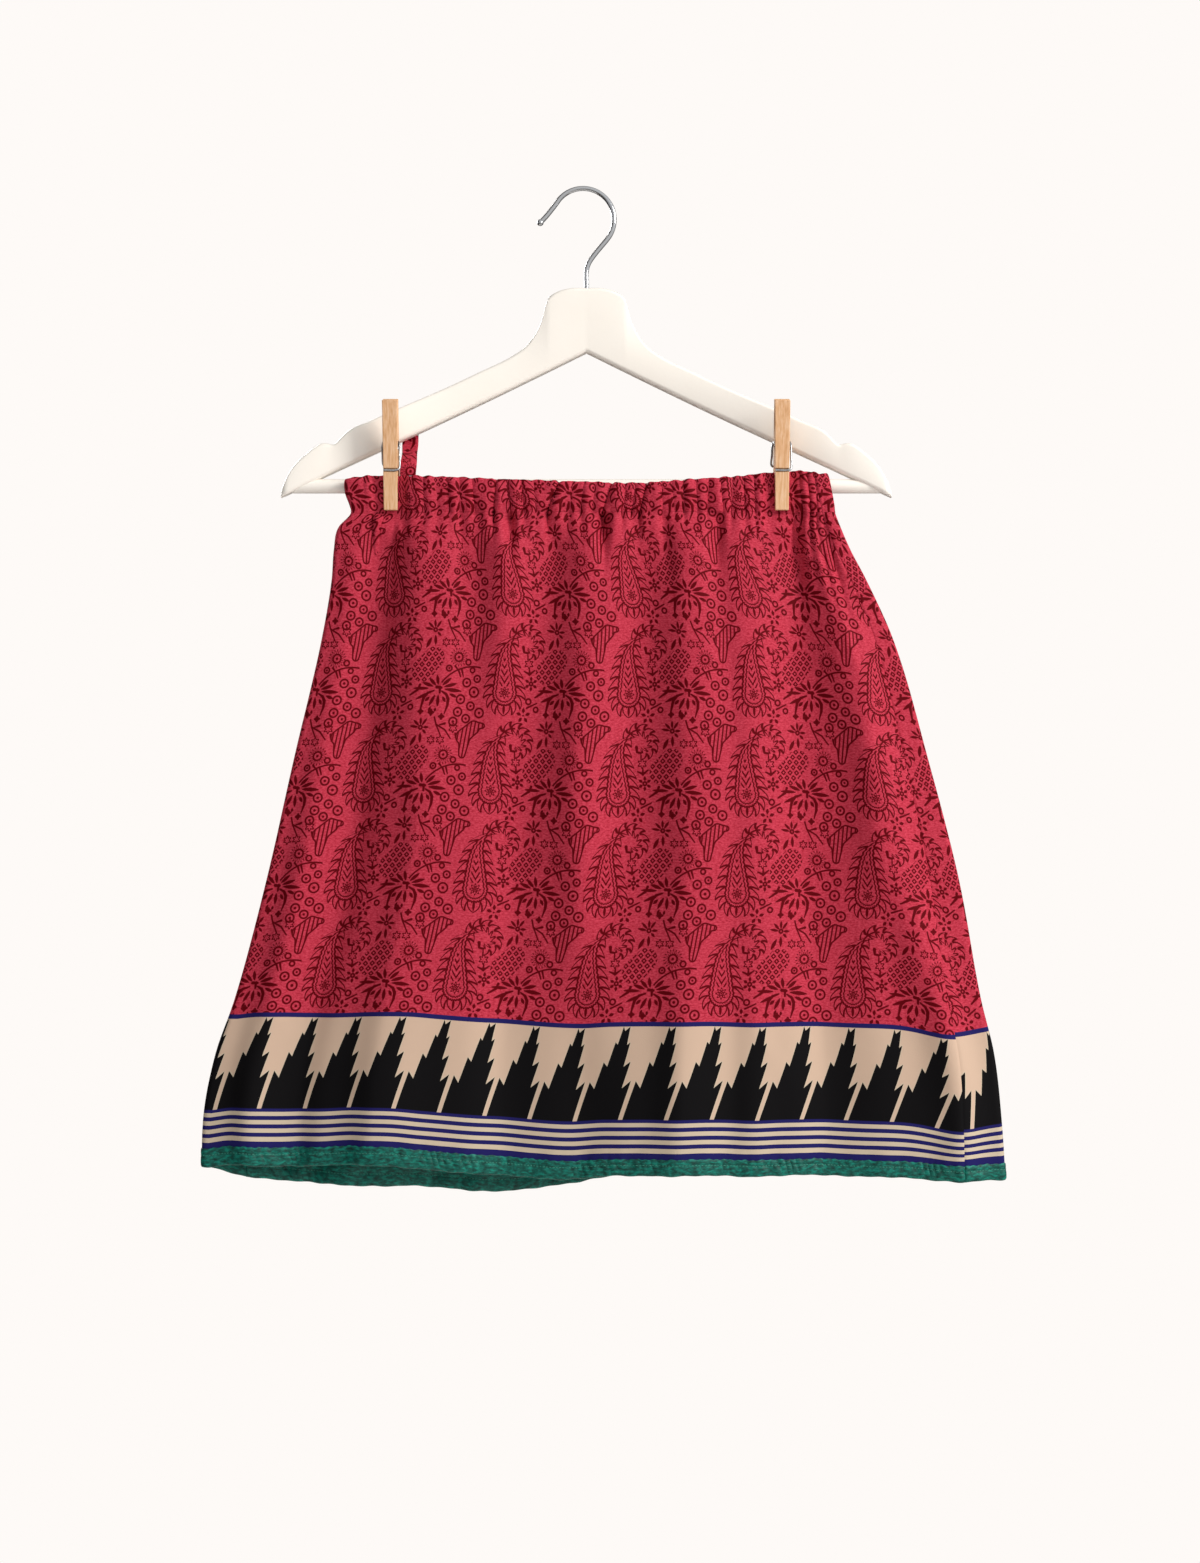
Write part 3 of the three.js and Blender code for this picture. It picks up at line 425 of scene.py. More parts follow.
# Creases that the elastic leaves between the puffs of the casing: where each meets its top and the
# stitched line, how deep and how wide it is
CASING_CREASES = table(
    "top foot depth width",
    (-161, -156, 1.1, 1.6), (-153, -151, 0.8, 1.8), (-146.5, -144.5, 1.0, 1.5), (-127, -126, 1.0, 1.7),
    (-119, -117.5, 0.7, 2.2), (-111, -110, 0.9, 1.8), (-103, -101, 0.6, 2.4), (-94, -92.5, 0.9, 1.7),
    (-86, -86, 0.7, 2.0), (-77.5, -75, 1.0, 1.8), (-69, -71, 0.6, 2.2), (-60, -61.8, 2.6, 1.1),
    (-52, -50, 0.8, 2.0), (-43, -41, 1.1, 1.6), (-34.5, -32.5, 0.7, 2.1), (-15.4, -24.6, 2.7, 1.2),
    (-7, -9, 0.8, 2.0), (1.5, -1, 0.9, 1.7), (9.5, 6.5, 0.6, 2.0), (21.6, 13.8, 2.4, 1.2),
    (30, 28, 0.9, 1.8), (38, 34, 0.8, 1.6), (45.4, 39.9, 2.7, 1.2), (54.5, 55.5, 0.9, 1.8),
    (62, 64, 0.7, 2.0), (70.5, 71, 1.0, 1.7), (79, 80, 0.7, 2.1), (88, 86.5, 0.9, 1.8),
    (96, 98, 1.0, 1.6), (104.5, 103.5, 0.7, 2.0), (112, 113, 1.0, 1.7), (119.5, 120.5, 0.8, 1.9),
    (127, 127.5, 0.9, 1.6), (147, 148.5, 2.2, 1.7), (152, 154, 2.0, 1.2), (157, 159.4, 2.9, 1.2),
    (162, 163.8, 2.2, 1.1), (167, 169.2, 2.6, 1.2))
PINCH = {"deeper": 1.9, "reach": 10.0}  # of those creases, and how far they run down the panels
PIN_PLACES = {"left": -133.9, "right": 138.9}
PRESS = {"y": -33.0, "width": 12.5, "fade": 15.0}  # where the pins flatten the casing
FOLD_EASE = 0.06                    # share of the width over which the folds fade into the sides


def ramp(value, low, high):
    """0 below low, 1 above high and smooth between them"""
    u = np.clip((value - low) / (high - low), 0, 1)
    return u * u * (3 - 2 * u)


def at_level(z, rows, names):
    """Value at height z of something known at the three fold levels"""
    top, middle, low = (rows[name][:, None] for name in names)
    upper = (FOLD_LEVELS["top"] - z) / (FOLD_LEVELS["top"] - FOLD_LEVELS["middle"])
    lower = ramp(-z, -FOLD_LEVELS["middle"], -FOLD_LEVELS["low"])
    return np.where(z > FOLD_LEVELS["middle"], top + (middle - top) * upper,
                    middle + (low - middle) * lower)


def seen_from_front(x, front):
    """x on the front, and on the back as if it were turned round to face forward"""
    return np.where(front, x, 2 * HANGER_X - x)


def fold_rise(rows, x, z):
    """How far the folds of one layer stand out"""
    off = x - at_level(z, rows, ("top", "middle", "low"))
    width = np.where(off < 0, rows["left_width"][:, None], rows["right_width"][:, None])
    rise = at_level(z, rows, ("rise_top", "rise_middle", "rise_low"))
    return ramp(GATHER_Z - z, -4, 30) * (rise * np.exp(-(off / width) ** 2)).sum(axis=0)


def crease_rise(rows, x, z):
    """How far the single creases stand out"""
    a = np.stack([rows["x"], rows["z"]], axis=-1)[:, None]
    along = np.stack([rows["to_x"], rows["to_z"]], axis=-1)[:, None] - a
    length = np.linalg.norm(along, axis=-1)
    along /= length[..., None]
    off = np.stack([x, z], axis=-1)[None] - a
    down = (off * along).sum(axis=-1) / length
    beside = off[..., 0] * along[..., 1] - off[..., 1] * along[..., 0]
    bow = rows["bow"][:, None] * np.clip(4 * down * (1 - down), 0, 1)
    fade = ramp(down, -0.05, 0.3) * ramp(1 - down, -0.05, 0.45)
    near = np.exp(-((beside - bow) / rows["width"][:, None]) ** 2)
    return (rows["rise"][:, None] * fade * near).sum(axis=0)


def elastic_rise(side, up, front):
    """How far the puffs and pinches over the elastic stand out, from 0 at the stitched line to 1 at
    the top. On the back, against the bar, they only sink in."""
    foot = CASING_CREASES["foot"][:, None]
    at = foot + up * (CASING_CREASES["top"][:, None] - foot)
    near = np.exp(-(np.abs(side - at) / CASING_CREASES["width"][:, None]) ** 1.6)
    out = -PINCH["deeper"] * (CASING_CREASES["depth"][:, None] * near).sum(axis=0)
    # Two uneven ripples, 12 and 23 mm long
    out += 0.5 * np.sin(side / 1.9 + 1.4 * np.sin(side / 11) + 0.6 * up)
    out += 0.45 * np.sin(side / 3.7 + 0.8 - 0.5 * up)
    return np.where(front, out, np.minimum(0.5 * out - 0.3, 0))


def edge_height(across, front):
    """Height of the hem's edge, by the share of the way across from the left"""
    return np.where(front, smooth(HEM["front"], "across", "z", across),
                    smooth(HEM["back"], "across", "z", across))


def hem_rise(x, z, front):
    """How far the puckers under the hem's stitches stand out, slanting down to the right, in the
    band and just above it"""
    left, right = (smooth(SECTIONS, "z", side, HEM_LEVEL) for side in ("left", "right"))
    up = (z - edge_height(np.clip((x - left) / (right - left), 0, 1), front)) / HEM_BAND
    # The stitches draw up wrinkles 6 mm apart, in some stretches more than in others
    taut = np.exp(-((up - STITCH_LINE / HEM_BAND) / 0.5) ** 2) * (0.25 + 0.75 * np.sin(x / 37 + 1) ** 4)
    drift = x + 5 * up + 2.2 * np.sin(x / 7.7) + 1.6 * np.sin(x / 3.9 + 1)
    out = 0.55 * taut * np.sin(drift / 0.95)
    # The strip itself waves too, in waves 18 and 40 mm long
    out += 0.35 * np.sin((x - 6 * up) / 2.9 + 1.1 * np.sin(x / 23))
    out += 0.55 * np.sin(x / 6.3 + 1.5 * np.sin(x / 31) - 1.2 * up)
    return out * ramp(2.1 - up, 0, 1)


def panel_detail(layer, x, z, front):
    """How far the furrows, creases, puckers and faint ripples of the cloth stand out"""
    side = seen_from_front(x, front)
    below = np.maximum(GATHER_Z - z, 0)
    pinched = elastic_rise(side, 0 * side, front) * np.exp(-(below / PINCH["reach"]) ** 1.3)
    off = side - FURROWS["x"][:, None] - FURROWS["lean"][:, None] * below
    near = np.exp(-(off / FURROWS["width"][:, None]) ** 2)
    fade = np.exp(-(below / FURROWS["length"][:, None]) ** 2) * ramp(below, -1, 5)
    out = pinched - (FURROWS["depth"][:, None] * near * fade).sum(axis=0)
    out += crease_rise(CREASES, side, z) + hem_rise(x, z, front)
    # Faint ripples, 57 and 33 mm long, which lean with the side seams
    drift = x + 0.13 * below
    out += 0.22 * np.sin(drift / 9.1 + 0.9 * np.sin(z / 47) + 1.3 * np.sin(x / 61))
    return out + 0.16 * np.sin(drift / 5.3 - z / 38 + 1.7 * np.sin(x / 43 + z / 90))


def half_tube(layer, share, z):
    """Where a share of the way round the front or back half lies at height z, from one side seam
    round a side fold to the other: x, the angle turned round the fold, the share of the way across
    from the left, whether it is on the front, and the tube's own sizes there"""
    tube = {name: smooth(SECTIONS, "z", name, z) for name in SECTIONS if name != "z"}
    width, fold = tube["right"] - tube["left"], tube["fold"]
    turn = smooth(SEAM_TURN, "z", "turn", z)
    first = turn - fold
    s = share * (width - 2 * fold + np.pi * fold + 2 * SEAM_LAP) - SEAM_LAP
    angle = np.clip((s - first) / fold, 0, np.pi)
    inward = np.where(s < first, turn - s, s - first - np.pi * fold + fold)
    inward = np.where((angle > 0) & (angle < np.pi), fold * (1 - np.sin(angle)), inward)
    x = tube["left"] + inward if layer == "front" else tube["right"] - inward
    across = np.clip((x - tube["left"] - fold) / (width - 2 * fold), 0, 1)
    return x, angle, across, (angle > np.pi / 2) == (layer == "front"), tube


def hang(layer, share, z, detail):
    """Middle of the cloth, with the small folds that detail adds"""
    shape = np.broadcast(share, z).shape
    share, z = (np.broadcast_to(a, shape).astype(float).ravel() for a in (share, z))
    x, angle, across, front, tube = half_tube(layer, share, z)
    away = np.where(front, -1.0, 1.0)
    bulge = 1 - np.abs(2 * across - 1) ** FULLNESS
    y = tube["side"] + (1 if layer == "front" else -1) * tube["fold"] * np.cos(angle)
    y += (np.where(front, tube["front"], tube["back"]) - tube["side"] - away * tube["fold"]) * bulge
    ease = ramp(np.minimum(across, 1 - across), 0, FOLD_EASE)
    rise = np.where(front, fold_rise(FOLDS["front"], x, z), fold_rise(FOLDS["back"], x, z))
    y += away * ease * (rise + detail(layer, x, z, front))
    pressed = sum(np.exp(-((x - place) / PRESS["width"]) ** 6) for place in PIN_PLACES.values())
    hold = front * pressed * ramp(z, GATHER_Z - PRESS["fade"], GATHER_Z + 1)
    y += hold * (PRESS["y"] - y)
    return np.stack([x, y, z], axis=-1).reshape(*shape, 3)


def out_of(layer, share, z, detail):
    """Level direction straight out of the cloth"""
    near = 0.0012                       # share of the way round, 0.7 mm at the hem
    along = hang(layer, share + near, z, detail) - hang(layer, share - near, z, detail)
    out = np.stack([along[..., 1], -along[..., 0], np.zeros(along.shape[:-1])], axis=-1)
    return out / np.linalg.norm(out, axis=-1)[..., None]


def hem_height(layer, share):
    """Height of the hem's edge"""
    return edge_height(*half_tube(layer, share, np.full_like(share, HEM_LEVEL))[2:4])


def band_share(layer, share):
    """Height of the hem band, as a share of its height at the right. It is deeper at the left."""
    across = half_tube(layer, share, np.full_like(share, HEM_LEVEL))[2]
    return 1 + 0.16 * ramp(1 - across, 0.45, 0.6)


def seam_groove(share, width, depth, reach):
    """How far cloth of so much flat width sinks in along its two side seams"""
    return depth * np.exp(-(np.minimum(share, 1 - share) * width / reach) ** 2)


def keep_cut(made, cut, chart):
    """Keep on a piece of cloth where each point lies on the cut cloth, in millimetres, and on its
    flat chart"""
    mesh = made.data
    mesh.attributes.new("cut", "FLOAT_VECTOR", "POINT").data.foreach_set("vector", cut.ravel())
    corners = np.empty(len(mesh.loops), int)
    mesh.loops.foreach_get("vertex_index", corners)
    layer = mesh.uv_layers.new(name="OFBake")
    layer.uv.foreach_set("vector", chart[corners].ravel())


def two_skins(middle, out, thickness, cut, chart):
    """Points, faces and cut of a closed thin sheet, its outer skin first"""
    rows, columns = middle.shape[:2]
    count = rows * columns
    points = np.concatenate([(middle + out * thickness / 2).reshape(-1, 3),
                             (middle - out * thickness / 2).reshape(-1, 3)])
    outer = np.array(grid_faces(rows, columns))
    faces = outer[:, ::-1].tolist() + (outer + count).tolist()
    rim = ([(0, c) for c in range(columns - 1)] + [(r, columns - 1) for r in range(rows - 1)]
           + [(rows - 1, c) for c in range(columns - 1, 0, -1)] + [(r, 0) for r in range(rows - 1, 0, -1)])
    rim = [r * columns + c for r, c in rim]
    faces += [(a, b, b + count, a + count) for a, b in zip(rim, rim[1:] + rim[:1])]
    charts = np.concatenate([chart * (1, 0.66), chart * (1, 0.32) + (0, 0.68)])
    return points, faces, np.concatenate([cut, cut]), charts


# A panel, cut flat from the hem to the stitched line, and where the print falls on each
CUT = {"gathered": 425.0, "hem": 585.0, "length": 463.6, "front": (0, 0, 0), "back": (3.5, -1.6, 0)}
SEAM_SAG = {"drop": 5.0, "reach": 28.0, "up": 15.0}  # how the border sags at the right side seam
BAND_TUCK = 3.0                     # how far a panel reaches down into its hem band
COLUMNS = 440
TOP_ROWS = {"count": 36, "reach": 0.11}  # finer rows for the furrows
LOW_ROWS = 70

printed_crepe, tree, shader = material("printed crepe")
# A thin matt polyester crepe, its threads too fine to show but for a grain 2 mm wide. Its roller
# print has paisleys, spider flowers, striped birds, roundels and sprigs in maroon, and along the
# hem a border of black stepped spires and navy lines. One repeat is across by up millimetres, each
# row of it starts further right by lean, and from is the middle of one paisley.
PRINT = {"across": 95.5, "up": 69.5, "lean": 0.0993, "from": (12.5, 133.5)}
INKS = {"ground": "cd455a", "ground_dark": "97172a", "maroon": "590009", "beige": "c5ab97",
        "cream": "c2b39e", "black": "0e0d0f", "navy": "1f1d59"}


def mark(name, *inputs):
    """A group that draws one kind of mark, and its inputs by name: X and Y of the place and the
    mark's own sizes. Its output is the depth inside the ink in millimetres, negative outside."""
    group = bpy.data.node_groups.new(name, "ShaderNodeTree")
    for socket in ("X", "Y", *inputs):
        group.interface.new_socket(socket, in_out="INPUT", socket_type="NodeSocketFloat")
    group.interface.new_socket("Ink", in_out="OUTPUT", socket_type="NodeSocketFloat")
    return group, group.nodes.new("NodeGroupInput").outputs


def drawn(group, ink):
    """The group, once its ink is linked to its output"""
    group.links.new(ink, group.nodes.new("NodeGroupOutput").inputs[0])
    return group


def distance(group, x, y):
    """Length of the line from nought to a place"""
    square = add(group, "Math MULTIPLY", (y, y))
    return add(group, "Math SQRT", (add(group, "Math MULTIPLY_ADD", (x, x, square)),))


def share_of(group, part, whole):
    """A part of a whole, from 0 to 1"""
    share = add(group, "Math DIVIDE", (part, whole))
    return add(group, "Math MAXIMUM", (add(group, "Math MINIMUM", (share, 1.0)), 0.0))


def from_middle(group, given, name="Middle"):
    """How far a place is from a mark's own middle: across, up and in all"""
    x, y = (add(group, "Math SUBTRACT", (given[axis], given[f"{name} {axis}"])) for axis in "XY")
    return x, y, distance(group, x, y)


def outline(group, depth, at, half):
    """A line of a given half width where the depth has one value"""
    away = add(group, "Math ABSOLUTE", (add(group, "Math SUBTRACT", (depth, at)),))
    return add(group, "Math SUBTRACT", (half, away))


def stroke_mark(name):
    """A stroke with round ends that narrows evenly, a leaf that swells in its middle, or a drop"""
    group, given = mark(name, "From X", "From Y", "Cosine", "Sine", "Length", "Width", "End")
    x, y, _ = from_middle(group, given, "From")
    along = add(group, "Math MULTIPLY", (y, given["Sine"]))
    along = add(group, "Math MULTIPLY_ADD", (x, given["Cosine"], along))
    beside = add(group, "Math MULTIPLY", (x, given["Sine"]))
    beside = add(group, "Math SUBTRACT", (beside, add(group, "Math MULTIPLY", (y, given["Cosine"]))))
    share = share_of(group, along, given["Length"])
    past = add(group, "Math SUBTRACT", (along, add(group, "Math MULTIPLY", (share, given["Length"]))))
    away = distance(group, past, beside)
    rest = add(group, "Math SUBTRACT", (1.0, share))
    if name == "leaf":
        swell = add(group, "Math MULTIPLY_ADD", (add(group, "Math MULTIPLY", (share, rest)), 3.0, 0.3))
        half = add(group, "Math MULTIPLY", (swell, given["Width"]))
    elif name == "drop":
        half = add(group, "Math MULTIPLY", (add(group, "Math POWER", (rest, 0.6)), given["Width"]))
    else:
        less = add(group, "Math SUBTRACT", (given["End"], given["Width"]))
        half = add(group, "Math MULTIPLY_ADD", (less, share, given["Width"]))
    return drawn(group, add(group, "Math SUBTRACT", (half, away)))


def stroke(x, y, to_x, to_y, width, end=0.0):
    """The sizes of a stroke from one place to another"""
    length = math.hypot(to_x - x, to_y - y)
    return {"From X": x, "From Y": y, "Cosine": (to_x - x) / length, "Sine": (to_y - y) / length,
            "Length": length, "Width": width, "End": end}


def ring_mark():
    """A ring with a dot in its middle, or without one where the dot has no size"""
    group, given = mark("ring", "Middle X", "Middle Y", "Radius", "Half", "Dot")
    away = from_middle(group, given)[2]
    dot = add(group, "Math SUBTRACT", (given["Dot"], away))
    ring = outline(group, away, given["Radius"], given["Half"])
    return drawn(group, add(group, "Math MAXIMUM", (ring, dot)))


def arc_mark():
    """A line on part of a circle: what lies within reach of a place on it"""
    group, given = mark("arc", "Middle X", "Middle Y", "Radius", "Half", "Near X", "Near Y", "Reach")
    line = outline(group, from_middle(group, given)[2], given["Radius"], given["Half"])
    near = add(group, "Math SUBTRACT", (given["Reach"], from_middle(group, given, "Near")[2]))
    return drawn(group, add(group, "Math MINIMUM", (line, near)))


def blossom_mark():
    """A small round flower with so many petals, drawn in outline, with a dot in its middle"""
    group, given = mark("blossom", "Middle X", "Middle Y", "Radius", "Petals", "Half", "Dot")
    x, y, away = from_middle(group, given)
    angle = add(group, "Math MULTIPLY", (add(group, "Math ARCTAN2", (x, y)), given["Petals"]))
    wave = add(group, "Math MULTIPLY_ADD", (add(group, "Math COSINE", (angle,)), 0.24, 0.82))
    edge = add(group, "Math MULTIPLY", (wave, given["Radius"]))
    dot = add(group, "Math SUBTRACT", (given["Dot"], away))
    return drawn(group, add(group, "Math MAXIMUM", (outline(group, away, edge, given["Half"]), dot)))


LEAF, STROKE, DROP = stroke_mark("leaf"), stroke_mark("stroke"), stroke_mark("drop")
RING, ARC, BLOSSOM = ring_mark(), arc_mark(), blossom_mark()


def flames(group, along, out, pitch, length, width, *lines):
    """A row of hooked flame-like teeth, drawn with one or two lines, on a line: how far along the line
    a place is, and how far out from it"""
    hooked = add(group, "Math MULTIPLY", (out, out))
    hooked = add(group, "Math MULTIPLY_ADD", (hooked, 0.65 / length, along))
    beside = add(group, "Math ABSOLUTE", (add(group, "Math WRAP", (hooked, pitch / 2, -pitch / 2)),))
    rest = add(group, "Math SUBTRACT", (1.0, share_of(group, out, length)))
    rest = add(group, "Math POWER", (rest, 0.6))
    within = add(group, "Math SUBTRACT", (add(group, "Math MULTIPLY", (rest, width)), beside))
    tooth = outline(group, within, *lines[0])
    for line in lines[1:]:
        tooth = add(group, "Math MAXIMUM", (tooth, outline(group, within, *line)))
    return add(group, "Math MINIMUM", (tooth, outline(group, out, length / 2, length / 2 + 0.2)))


# The large paisley: the ends and half width of its drop, the middle of the curl of its tail, and how far
# the tail lies from that middle, by the share of a turn from straight down
PAISLEY = {"foot": -7.0, "head": 31.0, "half": 8.8, "curl_x": 16.5, "curl_y": 28.0}
TAIL_BEND = [(0, 12.5), (0.29, 11.6), (0.37, 10.6), (0.5, 9.6), (0.6, 8.8), (0.7, 9.0), (0.78, 9.6),
             (0.87, 8.4), (1, 6.5)]
TAIL_SCALE = 20.0


def paisley_mark():
    """The large paisley: an outlined drop with a wavy line, a vein of chevrons and a dotted eye inside,
    a fringe of flames, and a toothed tail that bends over to the right into a curl"""
    group, given = mark("paisley")
    y = given["Y"]
    # The drop leans a little to the left, and its head bows over to the right
    above = add(group, "Math SUBTRACT", (y, PAISLEY["foot"]))
    raised = add(group, "Math MAXIMUM", (above, 0.0))
    bow = add(group, "Math POWER", (add(group, "Math DIVIDE", (raised, 43.0)), 6.0))
    bow = add(group, "Math MULTIPLY_ADD", (bow, -15.0, add(group, "Math MULTIPLY", (raised, 0.05))))
    x = add(group, "Math ADD", (given["X"], bow))
    drop = {"X": x, "Y": y} | stroke(0, PAISLEY["foot"], 0, PAISLEY["head"], PAISLEY["half"])
    depth = add(group, "Group", drop, node_tree=DROP)
    # Flames all round it, up to where the tail starts
    side = add(group, "Math ABSOLUTE", (x,))
    below = add(group, "Math ARCTAN2", (side, above))
    below = add(group, "Math MAXIMUM", (add(group, "Math SUBTRACT", (below, math.pi / 2)), 0.0))
    along = add(group, "Math MULTIPLY_ADD", (below, -16.0, raised))
    out = add(group, "Math MULTIPLY", (depth, add(group, "Math MULTIPLY_ADD", (raised, -0.01, -1.0))))
    fringe = flames(group, add(group, "Math ADD", (along, 21.0)), out, 7.4, 7.8, 3.9, (0.1, 0.75))
    ink = add(group, "Math MINIMUM", (fringe, add(group, "Math SUBTRACT", (33.0, y))))
    # Its wavy outline, a second wavy line inside, the vein of chevrons and the eye
    wave = add(group, "Math SINE", (add(group, "Math MULTIPLY", (along, 1.9)),))
    wave = add(group, "Math MULTIPLY_ADD", (wave, 0.3, depth))
    for line, at, half in ((wave, 0.0, 0.7), (wave, 2.3, 0.5)):
        ink = add(group, "Math MAXIMUM", (ink, outline(group, line, at, half)))
    vein = add(group, "Math WRAP", (add(group, "Math MULTIPLY_ADD", (side, -1.6, y)), 2.6, -2.6))
    vein = outline(group, vein, 0.0, 1.0)
    vein = add(group, "Math MINIMUM", (vein, add(group, "Math SUBTRACT", (depth, 3.9))))
    vein = add(group, "Math MINIMUM", (vein, add(group, "Math ADD", (y, 2.5))))
    ink = add(group, "Math MAXIMUM", (ink, vein))
    place = {"X": given["X"], "Y": y}
    for radius, petals in ((3.6, 8), (1.7, 5)):
        eye = {"Middle X": 0, "Middle Y": PAISLEY["foot"], "Radius": radius, "Petals": petals,
               "Half": 0.55, "Dot": 0.6}
        ink = add(group, "Math MAXIMUM", (ink, add(group, "Group", place | eye, node_tree=BLOSSOM)))
    # The tail bends over about the middle of its curl, toothed on both sides
    tail_x = add(group, "Math SUBTRACT", (given["X"], PAISLEY["curl_x"]))
    tail_y = add(group, "Math SUBTRACT", (y, PAISLEY["curl_y"]))
    turned = add(group, "Math ARCTAN2", (tail_x, tail_y))
    bend = add(group, "Math MULTIPLY_ADD", (turned, 0.5 / math.pi, 0.5))
    bend = add(group, "FloatCurve", {"Value": bend},
               points=[(turn, away / TAIL_SCALE) for turn, away in TAIL_BEND])
    out = add(group, "Math MULTIPLY_ADD", (bend, -TAIL_SCALE, distance(group, tail_x, tail_y)))
    along = add(group, "Math MULTIPLY", (turned, 9.5))
    back = add(group, "Math MULTIPLY", (along, -1.0))
    tail = flames(group, back, add(group, "Math SUBTRACT", (out, 0.4)), 5.4, 4.6, 2.7, (0.1, 0.7))
    inner = flames(group, back, add(group, "Math SUBTRACT", (-0.4, out)), 5.0, 3.8, 2.4, (0.1, 0.65))
    tail = add(group, "Math MAXIMUM", (tail, inner))
    stem = add(group, "Math MINIMUM", (outline(group, out, 0.0, 0.6), back))
    tail = add(group, "Math MAXIMUM", (tail, stem))
    tail = add(group, "Math MINIMUM", (tail, add(group, "Math ADD", (along, 12.5))))
    ink = add(group, "Math MAXIMUM", (ink, tail))
    for sizes in ((17, 21.5, 14, 22, 0.8, 0.8), (14, 22, 13.5, 25.5, 0.8, 1.2)):
        curl = add(group, "Group", place | stroke(*sizes), node_tree=STROKE)
        ink = add(group, "Math MAXIMUM", (ink, curl))
    return drawn(group, ink)


def bird_mark():
    """A perched bird with its beak to the right and a long tail down, outlined and striped"""
    group, given = mark("bird")
    place = {"X": given["X"], "Y": given["Y"]}
    parts = [add(group, "Group", place | stroke(*sizes), node_tree=STROKE)
             for sizes in ((-4, -15.5, 4, -8.5, 5.0, 4.6), (-2.5, -17, -3.5, -28, 4.2, 2.4),
                           (4, -7, 10.5, -7, 3.0, 1.8))]
    depth = add(group, "Math SMOOTH_MAX", (parts[0], parts[1], 1.2))
    depth = add(group, "Math SMOOTH_MAX", (depth, parts[2], 1.2))
    slant = add(group, "Math MULTIPLY_ADD", (given["Y"], -0.12, given["X"]))
    stripe = outline(group, add(group, "Math WRAP", (slant, 1.45, -1.45)), 0.0, 0.55)
    stripe = add(group, "Math MINIMUM", (stripe, add(group, "Math SUBTRACT", (depth, 0.3))))
    return drawn(group, add(group, "Math MAXIMUM", (stripe, outline(group, depth, 0.1, 0.55))))


def lattice_mark():
    """A slanting cluster of small tilted squares, each drawn in outline"""
    group, given = mark("lattice")
    leaning = [add(group, "Math MULTIPLY_ADD", (given["Y"], lean, given["X"])) for lean in (0.7, -0.7)]
    near = [add(group, "Math WRAP", (place, 2.55, -2.55)) for place in leaning]
    x = add(group, "Math ABSOLUTE", (add(group, "Math ADD", near),))
    y = add(group, "Math DIVIDE", (add(group, "Math SUBTRACT", near), 0.7))
    y = add(group, "Math ABSOLUTE", (y,))
    square = outline(group, add(group, "Math ADD", (x, y)), 2.95, 1.35)
    square = add(group, "Math MULTIPLY", (square, 0.5))
    patch = {"X": given["X"], "Y": given["Y"]} | stroke(-4, -4, 4, 4.5, 8.6, 8.0)
    patch = add(group, "Group", patch, node_tree=STROKE)
    return drawn(group, add(group, "Math MINIMUM", (square, patch)))


def middled(x, y):
    """A place on the cloth as seen from one middle in the nearest repeat of the print"""
    off_x = add(tree, "Math SUBTRACT", (sheared, x - PRINT["lean"] * y))
    off_x = add(tree, "Math WRAP", (off_x, PRINT["across"] / 2, -PRINT["across"] / 2))
    off_y = add(tree, "Math SUBTRACT", (above, y))
    off_y = add(tree, "Math WRAP", (off_y, PRINT["up"] / 2, -PRINT["up"] / 2))
    return {"X": add(tree, "Math MULTIPLY_ADD", (off_y, PRINT["lean"], off_x)), "Y": off_y}


# The motifs of one repeat, in millimetres round each group's own middle. Petals spread from that
# middle, by their angle, where they start and end and their half width. Stems run from one place to
# another, with the half width at each end. Rings and blossoms have a place, a radius, a number of
# petals where they are blossoms, and the radius of a dot. Arcs have a middle, a radius, a place on
# them and how far they reach from it.
SPIDER_FLOWER = {
    "middle": (45, -5.5),
    "petals": [
        (100, 3, 9.5, 1.2), (135, 3.5, 10.5, 1.2), (160, 5, 13, 1.2), (178, 8, 19, 1.1), (203, 7, 18, 1.1),
        (40, 4, 11.5, 1.2), (15, 4.5, 13.5, 1.2), (-6, 5, 17, 1.3), (-24, 9.5, 15, 1.1), (-60, 7, 11, 1.1),
        (-90, 5, 12.5, 1.2), (-118, 5.5, 13.5, 1.2), (-138, 9, 13, 1.1), (-112, 14, 17.5, 0.9),
        (-96, 14, 16.5, 0.9)],
    "stems": [
        (2.5, -2, 6, -4.2, 0.6, 1.0), (6, -4.2, 7.6, -7.5, 1.0, 1.2), (7.6, -7.5, 7.4, -12, 1.2, 1.0),
        (7.4, -12, 5.5, -18, 1.0, 0.4), (-3.5, -1.5, -8, -3, 0.6, 1.0), (-8, -3, -10.8, -6, 1.0, 1.2),
        (-10.8, -6, -12, -11, 1.2, 0.9), (-12, -11, -13.3, -17, 0.9, 0.4), (-1.5, 1, 2, 0.5, 1.2, 0.9),
        (1, 1, 1, -3, 1.0, 0.8),
        (14, 13.5, 16, 8.5, 0.8, 0.5), (16.5, 14, 18, 9, 0.8, 0.5), (11.5, 16, 13.5, 13.5, 0.8, 0.5)],
    "rings": [(21.5, 19, 1.9, 0), (25, 13.5, 1.7, 0), (7, 14.5, 2, 0.8), (14, 22.5, 3, 1)],
    "blossoms": [(14, 22.5, 6, 18, 0)],
    "arcs": [(26, -14.5, 30.5, 15, 14, 16.5)],
}
